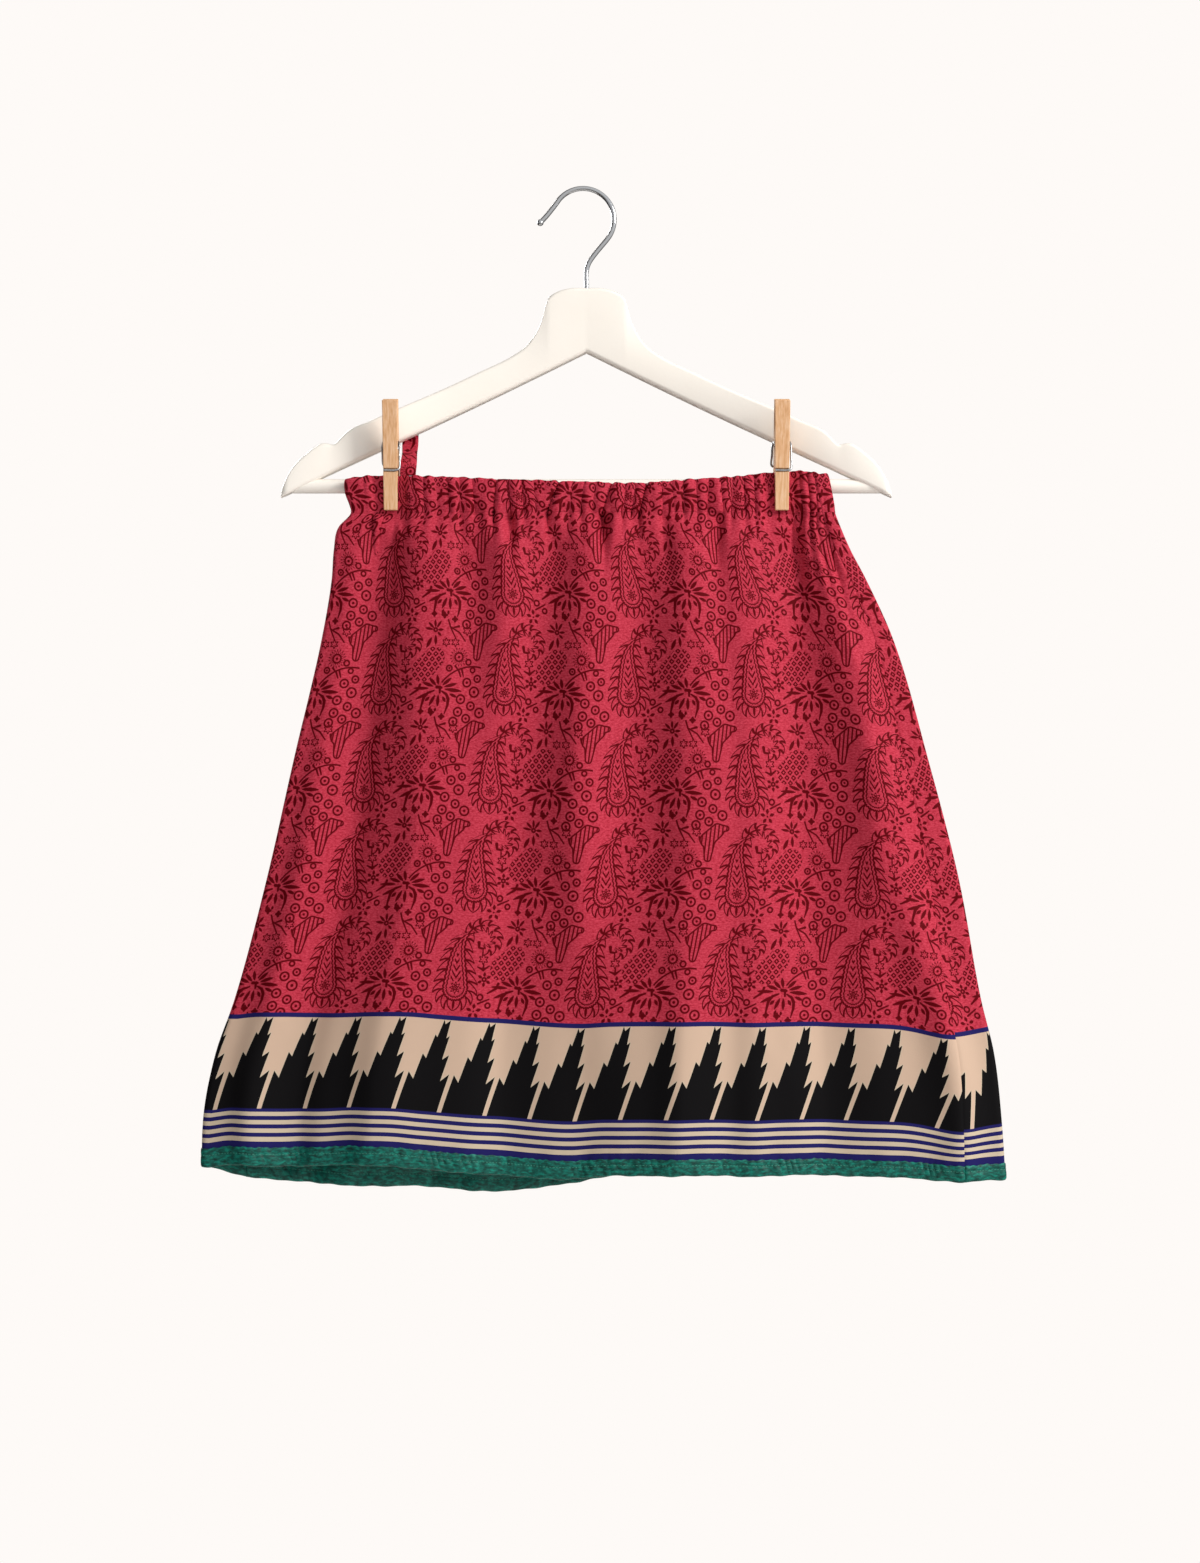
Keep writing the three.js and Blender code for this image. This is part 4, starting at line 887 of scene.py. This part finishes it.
STAR_SPRIGS = {
    "middle": (33.5, -33),
    "petals": [
        (135, 2, 7.5, 0.9), (92, 2, 7, 0.9), (55, 2, 7.5, 0.9), (0, 2, 6, 0.9), (-45, 2.5, 6, 0.9),
        (-88, 4, 10.5, 1.1), (-118, 6.5, 14, 1.3), (170, 2, 8, 0.9)],
    "stems": [
        (10, 7, 11.5, 2, 0.6, 0.6), (11.5, 2, 18.5, -2, 0.6, 0.6), (18.5, -2, 23, -8, 0.6, 0.5),
        (11.5, 2, 15.5, -6, 0.6, 0.5), (18, 2.5, 14, 1.5, 0.9, 0.5), (26.5, -4.5, 27, -7.5, 0.8, 0.5)],
    "rings": [(0, 0, 1.2, 0)],
    "blossoms": [
        (24.5, -0.5, 2.9, 6, 0), (15.5, -9, 2.7, 6, 0), (8.5, -9, 2.6, 6, 0), (-1, 11.5, 1.7, 4, 1.4),
        (7, 10.5, 1.9, 4, 1.5), (15, 7.5, 1.8, 4, 1.4)],
    "arcs": [],
}
SMALL_SPRAYS = {
    "middle": (20, 0),
    "petals": [(30 + 60 * i, 2.1, 4.9, 1) for i in range(6)],
    "stems": [
        (-1.5, 6.5, -1.5, 10.5, 0.9, 0.5), (-2, 7, -5.5, 8.5, 0.9, 0.5), (-1, 7, 2.5, 9.5, 0.9, 0.5),
        (-2.5, -17, 5, -13.5, 0.7, 0.5), (9, -6, 3.5, -9.5, 1, 0.6), (10.5, -2.5, 9, -6, 1, 0.6)],
    "rings": [(0, 0, 1.2, 0), (-1.5, -12.5, 1.9, 0), (4.5, -18, 1.7, 0)],
    "blossoms": [(-2, 14, 3, 6, 0)],
    "arcs": [],
}
FIVE_PETALS = {
    "middle": (15, -22.5),
    "petals": [(18 + 72 * i, 2, 5.2, 1.1) for i in range(5)],
    "stems": [],
    "rings": [(0, 0, 0, 0)],
    "blossoms": [],
    "arcs": [],
}
ROUNDELS = {
    "middle": (-26, -24),
    "petals": [],
    "stems": [],
    "rings": [
        (-3.5, 23, 2.9, 1), (4.5, 26, 2.4, 0.8), (2.5, 16.5, 3.4, 1.1), (-7.5, 11, 3, 1),
        (0.5, 6.5, 2.8, 0.9), (-9, 2, 3, 1), (7.5, 2, 3.2, 1), (-2.5, -2.5, 2.8, 0.9), (-12, -5, 2.9, 1)],
    "blossoms": [],
    "arcs": [],
}
LATTICE_MIDDLE = (36.0, 12.0)

cut_place = add(tree, "Attribute", attribute_name="cut").node.outputs["Vector"]
parts = add(tree, "SeparateXYZ", {0: cut_place}).node.outputs
across_cut, up = parts["X"], parts["Y"]
above = add(tree, "Math SUBTRACT", (up, PRINT["from"][1]))
sheared = add(tree, "Math MULTIPLY_ADD", (above, -PRINT["lean"], across_cut))
sheared = add(tree, "Math SUBTRACT", (sheared, PRINT["from"][0]))

PAISLEY_WINDOW = 9.0                # its fringe and tail reach further up than down
place = middled(0, PAISLEY_WINDOW)
place["Y"] = add(tree, "Math ADD", (place["Y"], PAISLEY_WINDOW))
ink = add(tree, "Group", place, node_tree=paisley_mark())
lattice = add(tree, "Group", middled(*LATTICE_MIDDLE), node_tree=lattice_mark())
ink = add(tree, "Math MAXIMUM", (ink, lattice))
for motif in (SPIDER_FLOWER, STAR_SPRIGS, SMALL_SPRAYS, FIVE_PETALS, ROUNDELS):
    place = middled(*motif["middle"])
    marks = [(STROKE, stroke(*sizes)) for sizes in motif["stems"]]
    for angle, start, end, half in motif["petals"]:
        way = np.array((math.cos(math.radians(angle)), math.sin(math.radians(angle))))
        marks.append((LEAF, stroke(*(way * start), *(way * end), half)))
    for x, y, radius, dot in motif["rings"]:
        marks.append((RING, {"Middle X": x, "Middle Y": y, "Radius": radius, "Half": 0.65, "Dot": dot}))
    for x, y, radius, petals, dot in motif["blossoms"]:
        marks.append((BLOSSOM, {"Middle X": x, "Middle Y": y, "Radius": radius, "Petals": petals,
                                "Half": 0.6, "Dot": dot}))
    for x, y, radius, near_x, near_y, reach in motif["arcs"]:
        marks.append((ARC, {"Middle X": x, "Middle Y": y, "Radius": radius, "Half": 0.6,
                            "Near X": near_x, "Near Y": near_y, "Reach": reach}))
    if motif is ROUNDELS:
        marks.append((bird_mark(), {}))
    for kind, sizes in marks:
        ink = add(tree, "Math MAXIMUM", (ink, add(tree, "Group", place | sizes, node_tree=kind)))

# The border, by how far a place is below the first navy line. The curve gives how far down a spire's
# stepped edge starts, by the place across one spire. The steps all slant to the left on their way
# down.
BORDER = {"top": 106.9, "line": 3.2, "black_to": 39.0, "spire": 32.0, "slant": 0.26, "from": -12.6,
          "tip": 10.5, "outline": 0.5}
SPIRE_DEPTH = 70.0                  # scale of the steps' curve
SPIRE_STEPS = [
    (-12.6, 37.9), (-7.8, 42.9), (-7.6, 24.6), (-4.2, 27.7), (-4.1, 10.7), (-2.1, 12.5), (-2.0, 0.0),
    (0, 3.1), (2.7, 0), (4.5, 12.8), (6.25, 11.0), (7.3, 27.9), (11.0, 24.3), (11.3, 43.0),
    (16.0, 37.5), (16.2, 70), (19.2, 70), (19.4, 37.9)]
STRIPES = [
    (0.0, "navy"), (15.6, "cream"), (19.0, "navy"), (21.9, "cream"), (24.9, "navy"), (27.8, "cream"),
    (30.8, "navy"), (33.7, "cream"), (36.7, "navy")]

down = add(tree, "Math SUBTRACT", (BORDER["top"] - BORDER["line"], up))
slanted = add(tree, "Math MULTIPLY_ADD", (down, BORDER["slant"], across_cut))
steps = [(round((place - BORDER["from"]) / BORDER["spire"], 4), height / SPIRE_DEPTH)
         for place, height in SPIRE_STEPS]
edges = []
for aside in (0.0, -BORDER["outline"], BORDER["outline"]):
    place = add(tree, "Math ADD", (slanted, aside - BORDER["tip"] - BORDER["from"]))
    place = add(tree, "Math WRAP", (place, BORDER["spire"], 0.0))
    place = add(tree, "Math DIVIDE", (place, BORDER["spire"]))
    edge = add(tree, "FloatCurve", {"Value": place}, points=steps)
    edges.append(add(tree, "Math SUBTRACT", (down, add(tree, "Math MULTIPLY", (edge, SPIRE_DEPTH)))))
black, left, right = edges
rim = add(tree, "Math ADD", (add(tree, "Math MAXIMUM", (left, right)), BORDER["outline"]))


def over(under, colour, where, low, high):
    """The colour under, and another over it where a value is above low, in full from high"""
    share = add(tree, "MapRange", {0: where, 1: low, 2: high})
    return add(tree, "MixRGB", {0: share, 1: under, 2: colour})


weave = add(tree, "Mapping", {0: cut_place, "Scale": (0.45, 0.9, 1.0)})
uneven = add(tree, "TexNoise", {"Vector": weave, "Scale": 1.0, "Detail": 3.0, "Roughness": 0.7})
ground = add(tree, "ValToRGB", {0: uneven}, stops=(
    (0.3, INKS["ground_dark"]), (0.7, INKS["ground"])))
colour = over(ground, linear(INKS["maroon"]), ink, -0.25, 0.2)
border = over(linear(INKS["beige"]), linear(INKS["cream"]), rim, -0.1, 0.1)
border = over(border, linear(INKS["black"]), black, -0.1, 0.1)
low_stripes = add(tree, "Math DIVIDE", (up, BORDER["black_to"]))
low_stripes = add(tree, "ValToRGB", {0: low_stripes}, stops=[
    (height / BORDER["black_to"], INKS[name]) for height, name in STRIPES])
low_stripes.node.color_ramp.interpolation = "CONSTANT"
border = over(low_stripes, border, up, BORDER["black_to"] - 0.1, BORDER["black_to"] + 0.1)
border = over(border, linear(INKS["navy"]), down, 0.1, -0.1)
colour = over(border, colour, up, BORDER["top"] - 0.1, BORDER["top"] + 0.1)

thread = add(tree, "Mapping", {0: cut_place, "Scale": (2.2, 1.1, 1.0)})
thread = add(tree, "TexNoise", {"Vector": thread, "Scale": 1.0, "Detail": 2.0, "Roughness": 0.6})
bump = add(tree, "Bump", {"Height": thread, "Strength": 0.25, "Distance": 0.0004})
fill(tree, shader, {"Base Color": colour, "Normal": bump, "Roughness": 0.6, "Specular IOR Level": 0.05})

share = np.linspace(0, 1, COLUMNS)
down = np.append(np.linspace(0, TOP_ROWS["reach"], TOP_ROWS["count"], endpoint=False),
                 np.linspace(TOP_ROWS["reach"], 1, LOW_ROWS))[:, None]
for layer in ("front", "back"):
    foot = hem_height(layer, share) + HEM_BAND * band_share(layer, share) - BAND_TUCK
    z = GATHER_Z + TUCK + (foot - GATHER_Z - TUCK) * down
    middle = hang(layer, share, z, panel_detail)
    out = out_of(layer, share, z, panel_detail)
    middle -= out * seam_groove(share, CUT["hem"], 0.6, 0.9)[..., None]
    up = CUT["length"] + TUCK + (HEM_BAND - BAND_TUCK - CUT["length"] - TUCK) * down + 0 * share
    wide = CUT["gathered"] + (CUT["hem"] - CUT["gathered"]) * (1 - up / CUT["length"])
    from_right = (1 - share if layer == "front" else share) * wide
    sag = SEAM_SAG["drop"] * np.exp(-(from_right / SEAM_SAG["reach"]) ** 2)
    print_up = up + sag * (1 - np.exp(-np.maximum(up - HEM_BAND, 0) / SEAM_SAG["up"]))
    cut = np.stack([(share - 0.5) * wide, print_up, 0 * up], axis=-1).reshape(-1, 3)
    cut += CUT[layer]
    chart = np.stack([share + 0 * down, 1 - down + 0 * share], axis=-1).reshape(-1, 2)
    points, faces, cut, chart = two_skins(middle, out, CLOTH, cut, chart)
    panel = piece(f"{layer}_of_skirt", points, faces, printed_crepe, [f"{layer}_panel"])
    keep_cut(panel, cut, chart)


# Waist casing
# The top of each panel, turned down over a 20 mm elastic and stitched. The elastic bunches the cloth
# into small upright puffs, tightest at the right, and both pins press it flat.
CASING = {"top": -209.0, "middle": -219.0, "foot": GATHER_Z, "thickness": 2.6, "puff": 1.1}
WAIST_TOP = table(
    "x z", (-166, -209.0), (-145, -206.6), (-100, -207.5), (-50, -209.6), (0, -211.2), (38, -212.1),
    (80, -209.3), (115, -206.8), (135, -204.2), (156, -203.0), (171, -205.4))
CASING_COLUMNS = 640

# Shares of the way up from the stitched line, closer at the foot and where the top is rounded over
UP_ELASTIC = np.array([0, 0.04, 0.1, 0.18, 0.28, 0.42, 0.57, 0.71, 0.83, 0.91, 0.96, 0.985])


def casing_detail(layer, x, z, front):
    """How far the casing stands out, plump between its stitched line and its top"""
    side = seen_from_front(x, front)
    up = np.clip((z - CASING["foot"]) / (CASING["top"] - CASING["foot"]), 0, 1)
    return elastic_rise(side, up, front) + front * CASING["puff"] * np.sin(np.pi * up) ** 0.7


share = np.linspace(0, 1, CASING_COLUMNS)
for layer in ("front", "back"):
    x, _, _, front, _ = half_tube(layer, share, np.full(CASING_COLUMNS, CASING["middle"]))
    side = seen_from_front(x, front)
    near = np.exp(-((side - CASING_CREASES["top"][:, None]) / 1.6) ** 2)
    top = smooth(WAIST_TOP, "x", "z", x) - (0.35 * CASING_CREASES["depth"][:, None] * near).sum(axis=0)
    top += 0.3 * np.sin(side / 1.7 + 1.2 * np.sin(side / 9))
    round_it = np.concatenate([UP_ELASTIC, [1], UP_ELASTIC[::-1]])[:, None]
    skin = np.array([1] * len(UP_ELASTIC) + [0] + [-1] * len(UP_ELASTIC))[:, None]
    z = CASING["foot"] + (top - CASING["foot"]) * round_it
    middle = hang(layer, share, z, casing_detail)
    out = out_of(layer, share, z, casing_detail)
    half = CASING["thickness"] / 2 * np.sqrt(1 - round_it ** 8) * (0.42 + 0.58 * ramp(round_it, 0, 0.22))
    points = middle + out * (skin * half - seam_groove(share, CUT["gathered"], 0.7, 0.8))[..., None]
    height = (top - CASING["foot"]) * round_it
    up = CUT["length"] + np.where(skin >= 0, height, 2 * (top - CASING["foot"]) - height)
    cut = np.stack([(share - 0.5) * CUT["gathered"] + 0 * up, up, 0 * up], axis=-1)
    chart = np.stack([share + 0 * up, np.linspace(0, 1, len(round_it))[:, None] + 0 * up], axis=-1)
    points, cut, chart = (np.swapaxes(a, 0, 1) for a in (points, cut, chart))
    faces = [face[::-1] for face in closed_rings(CASING_COLUMNS, len(round_it))]
    casing = piece(f"waist_of_{layer}", points.reshape(-1, 3), faces, printed_crepe,
                   [f"waist_casing_{layer}"], 60)
    keep_cut(casing, cut.reshape(-1, 3), chart.reshape(-1, 2))


# Hem bands
# A bias strip of green satin, folded round the raw edge of each panel and topstitched, so that it
# puckers into slanting wrinkles under the stitches.
HEM_COLUMNS = 640
# The stitches of the topstitching, and the shares of a stitch where its thickness is given
STITCH = {"pitch": 2.3, "length": 1.7, "thick": 0.3, "sides": 6, "out": 0.95}
STITCH_SHAPE = table("along thick", (-0.5, 0.2), (-0.35, 0.8), (0, 1), (0.35, 0.8), (0.5, 0.2))
# A band's section, from the middle of the cloth outwards and up from the edge
HEM_SECTION = table(
    "out up", (0.4, 11.1), (0.7, 11.5), (1.0, 11.1), (1.12, 9.2), (1.0, 8.0), (0.86, 7.4), (1.0, 6.8),
    (1.2, 5.2), (1.2, 2.8), (1.05, 1.1), (0.6, 0.25), (0, 0), (-0.6, 0.25), (-1.05, 1.1), (-1.2, 2.8),
    (-1.2, 5.2), (-1.0, 6.8), (-0.86, 7.4), (-1.0, 8.0), (-1.12, 12.2), (-1.0, 14.2), (-0.7, 14.6),
    (-0.4, 14.2), (-0.42, 6), (-0.42, 2.2), (0.42, 2.2), (0.42, 6))

green_satin, tree, shader = material("green acetate satin")
# A bright satin whose long floats catch the light along each pucker, with slubs 4 mm long. Its
# slanting threads, 0.8 mm apart, are drawn coarser than real ones so that they show.
place = add(tree, "Attribute", attribute_name="cut").node.outputs["Vector"]
slub = add(tree, "Mapping", {0: place, "Scale": (0.22, 0.5, 1.0)})
slub = add(tree, "TexNoise", {"Vector": slub, "Scale": 1.0, "Detail": 4.0, "Roughness": 0.62})
tint = add(tree, "ValToRGB", {0: slub}, stops=(
    (0.34, "002f2a"), (0.66, "0a7f6f"), (0.5, "03564c")))
thread = add(tree, "Mapping", {0: place, "Rotation": (0, 0, math.pi / 4), "Scale": (2.6, 2.6, 1)})
thread = add(tree, "TexWave", {"Vector": thread, "Scale": 0.5, "Distortion": 1.5})
bump = add(tree, "Bump", {"Height": thread, "Strength": 0.25, "Distance": 0.0002})
fill(tree, shader, {"Base Color": tint, "Normal": bump, "Roughness": 0.42, "Specular IOR Level": 0.25,
                    "Anisotropic": 0.4})

green_thread, tree, shader = material("green polyester thread")
# Spun thread, a little lighter than the satin, whose plies show as fine slanting bands.
place = add(tree, "NewGeometry")
ply = add(tree, "TexWave", {"Vector": place, "Scale": 700.0, "Distortion": 1.0},
          bands_direction="DIAGONAL")
tint = add(tree, "ValToRGB", {0: ply}, stops=((0.2, "0a5a4c"), (0.8, "2b8f7c")))
bump = add(tree, "Bump", {"Height": ply, "Strength": 0.3, "Distance": 0.0001})
fill(tree, shader, {"Base Color": tint, "Normal": bump, "Roughness": 0.55})

share = np.linspace(0, 1, HEM_COLUMNS)
for layer in ("front", "back"):
    round_hem = share[:, None]
    edge = hem_height(layer, share)[:, None] + 0 * HEM_SECTION["up"]
    z = edge + HEM_SECTION["up"] * band_share(layer, share)[:, None]
    middle = hang(layer, round_hem, z, panel_detail)
    out = out_of(layer, round_hem, z, panel_detail)
    points = middle + out * (HEM_SECTION["out"] - seam_groove(round_hem, CUT["hem"], 0.8, 0.8))[..., None]
    # Its lower edge wobbles, and its upper edge is scalloped where the stitches draw it in
    wobble = 0.35 * np.sin(share * 97) * np.sin(share * 41) + 0.2 * np.sin(share * 233)
    points[..., 2] += wobble[:, None] * np.clip(1 - HEM_SECTION["up"] / 9, 0, 1)
    drawn_in = 0.25 * np.sin(share * 620 + 2 * np.sin(share * 53)) + 0.2 * np.sin(share * 287)
    points[..., 2] += drawn_in[:, None] * np.clip(HEM_SECTION["up"] / 3 - 2.6, 0, 1)
    count = len(HEM_SECTION["up"])
    faces = closed_rings(HEM_COLUMNS, count)
    band = piece(f"hem_of_{layer}", points.reshape(-1, 3), faces, green_satin,
                 [f"hem_band_{layer}"], 70)
    cut = np.stack([(round_hem - 0.5) * CUT["hem"] + 0 * z, z - edge, 0 * z], axis=-1)
    chart = np.stack([round_hem + 0 * z, np.arange(count) / count + 0 * z], axis=-1)
    keep_cut(band, cut.reshape(-1, 3), chart.reshape(-1, 2))

    # Its topstitching, a lockstitch that shows on both faces
    stitches = np.arange(STITCH["pitch"], CUT["hem"] - STITCH["pitch"], STITCH["pitch"])[:, None]
    thick = STITCH["thick"] * STITCH_SHAPE["thick"][:, None]
    at = (stitches + STITCH_SHAPE["along"] * STITCH["length"]) / CUT["hem"]
    z = (hem_height(layer, at.ravel()) + STITCH_LINE * band_share(layer, at.ravel())).reshape(at.shape)
    middle, out = hang(layer, at, z, panel_detail), out_of(layer, at, z, panel_detail)
    turn = np.linspace(0, 2 * np.pi, STITCH["sides"], endpoint=False)
    points, faces = [], []
    for side in (1, -1):
        off = side * (STITCH["out"] + thick * np.cos(turn))
        ring = middle[:, :, None] + out[:, :, None] * off[..., None]
        ring[..., 2] += thick * np.sin(turn)
        for stitch in ring.reshape(len(stitches), -1, 3):
            around = closed_rings(len(thick), STITCH["sides"], start=len(points) * len(stitch))
            faces += [face[::-side] for face in around]
            points.append(stitch)
    stitching = piece(f"hem_stitches_of_{layer}", np.concatenate(points), faces, green_thread)


# Tie
# A narrow strip of the printed crepe, folded double and stitched, which rises from inside the waist
# and is tucked behind the left arm of the hanger.
TIE = {"left": -128.0, "right": -116.8, "thickness": 1.1, "print": (131, 495, 0)}
TIE_ROUTE = [(-30.5, -206.3), (-30.2, -203.2), (-26.0, -197.0), (-17.5, -190.8), (-8.5, -185.5),
             (-3.6, -180.5), (-1.9, -174.0), (-1.7, -158.5)]
TIE_SECTION = table(
    "across out", (-1, 0), (-0.985, 0.3), (-0.93, 0.46), (-0.7, 0.5), (-0.3, 0.5), (0, 0.5), (0.3, 0.5),
    (0.7, 0.5), (0.93, 0.46), (0.985, 0.3), (1, 0), (0.985, -0.3), (0.93, -0.46), (0.7, -0.5),
    (0.3, -0.5), (0, -0.5), (-0.3, -0.5), (-0.7, -0.5), (-0.93, -0.46), (-0.985, -0.3))

route = through([(0, y, z) for y, z in TIE_ROUTE], 10)
along = np.gradient(route, axis=0)
along /= np.linalg.norm(along, axis=1)[:, None]
front_side = np.stack([0 * along[:, 0], -along[:, 2], along[:, 1]], axis=-1)
passed = np.concatenate([[0], np.cumsum(np.linalg.norm(np.diff(route, axis=0), axis=1))])[:, None]
middle_x = (TIE["left"] + TIE["right"]) / 2 + 0.25 * np.sin(passed / 9)
half_width = (TIE["right"] - TIE["left"]) / 2 + 0.2 * np.sin(passed / 5.3)
curl = 0.3 * np.cos(TIE_SECTION["across"] * 3) * np.sin(passed / 7)
points = route[:, None] + front_side[:, None] * (TIE_SECTION["out"] * TIE["thickness"] + curl)[..., None]
points[..., 0] = middle_x + half_width * TIE_SECTION["across"]
count = len(TIE_SECTION["out"])
tie = piece("waist_strip", points.reshape(-1, 3), closed_rings(len(route), count), printed_crepe,
            ["waist_tie"])
across_tie = points[..., 0]
cut = np.stack(np.broadcast_arrays(across_tie, passed, 0), axis=-1) + TIE["print"]
chart = np.stack([np.arange(count) / count + 0 * passed, passed / passed[-1] + 0 * curl], axis=-1)
keep_cut(tie, cut.reshape(-1, 3), chart.reshape(-1, 2))


# Clothespins
# Two sprung pins of unfinished birch, each of two sawn legs on a coil of galvanised steel wire. The
# front leg holds the waist against the bar, and the back leg stands off behind it.
PIN = {"y": -34.1, "z": -186.5, "top": 31.0, "jaw": -44.6, "top_width": 10.8, "jaw_width": 9.4,
       "open": 26.0, "coil": 4.0, "wire": 0.8, "turns": 3.5, "side": 6.3, "across": 4.6, "edge": 0.5}
LEG = {"meet": 0.3, "handle_inner": 8.0, "handle_outer": 12.0, "waist": 8.0, "jaw": 4.3, "seat": 4.4,
       "relief": 0.3}
NOTCH = {"depth": -2.5, "height": -28.3, "radius": 5.3}
GROOVE = {"height": -17.0, "width": 2.4, "floor": 5.4, "lip": 6.55, "mouth": 6.75}

birch, tree, shader = material("sawn birch")
# Pale bare wood, its upright grain about 1 mm wide and 40 mm long, with darker pores.
place = add(tree, "NewGeometry")
grain = add(tree, "Mapping", {0: place, "Scale": (900.0, 900.0, 24.0)})
grain = add(tree, "TexNoise", {"Vector": grain, "Scale": 1.0, "Detail": 5.0, "Roughness": 0.6})
tint = add(tree, "ValToRGB", {0: grain}, stops=(
    (0.32, "cb9766"), (0.7, "e8c3a0"), (0.5, "ddae82")))
bump = add(tree, "Bump", {"Height": grain, "Strength": 0.3, "Distance": 0.0003})
fill(tree, shader, {"Base Color": tint, "Normal": bump, "Roughness": 0.65})

galvanised, tree, shader = material("galvanised steel wire")
# Drawn wire with a thin dull zinc coat, clouded by crystals about 1.4 mm wide.
place = add(tree, "NewGeometry")
spangle = add(tree, "TexNoise", {"Vector": place, "Scale": 700.0, "Detail": 3.0})
tint = add(tree, "ValToRGB", {0: spangle}, stops=((0.35, "8f9296"), (0.7, "b4b7ba")))
fill(tree, shader, {"Base Color": tint, "Metallic": 1.0, "Roughness": 0.32})


def opened(depth, height, angle):
    """A place on a leg once the leg has turned about the coil"""
    turn = math.radians(angle)
    return (depth * math.cos(turn) - height * math.sin(turn),
            depth * math.sin(turn) + height * math.cos(turn))


def leg_outline():
    """A leg's outline, closed: out from where the two legs meet, and up from the coil"""
    seat = math.asin(LEG["meet"] / LEG["seat"])
    bite = math.acos((LEG["meet"] - NOTCH["depth"]) / NOTCH["radius"])
    groove_foot = GROOVE["height"] - GROOVE["width"] / 2
    groove_top = GROOVE["height"] + GROOVE["width"] / 2
    edge = [(LEG["meet"], PIN["jaw"]), (LEG["jaw"], PIN["jaw"]), (GROOVE["lip"], groove_foot),
            (GROOVE["floor"], groove_foot), (GROOVE["floor"], groove_top), (GROOVE["mouth"], groove_top),
            (LEG["waist"], 0), (LEG["handle_outer"], PIN["top"]), (LEG["handle_inner"], PIN["top"])]
    for a in np.linspace(math.pi / 2 - LEG["relief"], seat - math.pi / 2, 12):
        edge.append((LEG["seat"] * math.cos(a), LEG["seat"] * math.sin(a)))
    for a in np.linspace(bite, -bite, 9):
        edge.append((NOTCH["depth"] + NOTCH["radius"] * math.cos(a),
                     NOTCH["height"] + NOTCH["radius"] * math.sin(a)))
    return edge


for name, x in PIN_PLACES.items():
    edge = leg_outline()
    for leg, way, angle in (("front", -1, 0), ("back", 1, PIN["open"])):
        points = []
        for side in (-1, 1):
            for depth, height in edge:
                width = np.interp(height, (PIN["jaw"], PIN["top"]), (PIN["jaw_width"], PIN["top_width"]))
                out, up = opened(depth, height, angle)
                points.append((x + way * side * width / 2, PIN["y"] + way * out, PIN["z"] + up))
        wood = piece(f"pin_{name}_{leg}", points, closed_rings(2, len(edge)), birch,
                     [f"pin_{name}_{leg}_leg"])
        rounding = wood.modifiers.new("worn edges", "BEVEL")
        rounding.width = PIN["edge"] * MM
        rounding.segments = 3
        rounding.limit_method = "ANGLE"
        rounding.angle_limit = math.radians(50)
    # The spring: out of the front leg's groove, round the coil and into the back leg's groove
    rest = GROOVE["floor"] + GAP + PIN["wire"]
    coil = PIN["coil"] - PIN["wire"]
    back_rest, back_height = opened(rest, GROOVE["height"], PIN["open"])
    route = [(-PIN["across"], -rest, GROOVE["height"]), (PIN["across"], -rest, GROOVE["height"]),
             (PIN["side"], 0.7 - rest, GROOVE["height"] + 1.6), (PIN["side"], -coil - 0.9, -7)]
    for turn in np.linspace(0, PIN["turns"], 43):
        a = math.pi - 2 * math.pi * turn
        aside = PIN["side"] * (1 - 2 * turn / PIN["turns"])
        route.append((aside, coil * math.cos(a), coil * math.sin(a)))
    route += [(-PIN["side"], coil + 2.2, -5), (-PIN["side"], back_rest - 0.9, back_height + 1.4),
              (-PIN["across"], back_rest, back_height), (PIN["across"], back_rest, back_height)]
    points, faces = wire(through(route, 5) + (x, PIN["y"], PIN["z"]), PIN["wire"], 12)
    piece(f"pin_{name}_coil", points, faces, galvanised, [f"pin_{name}_spring"], 60)
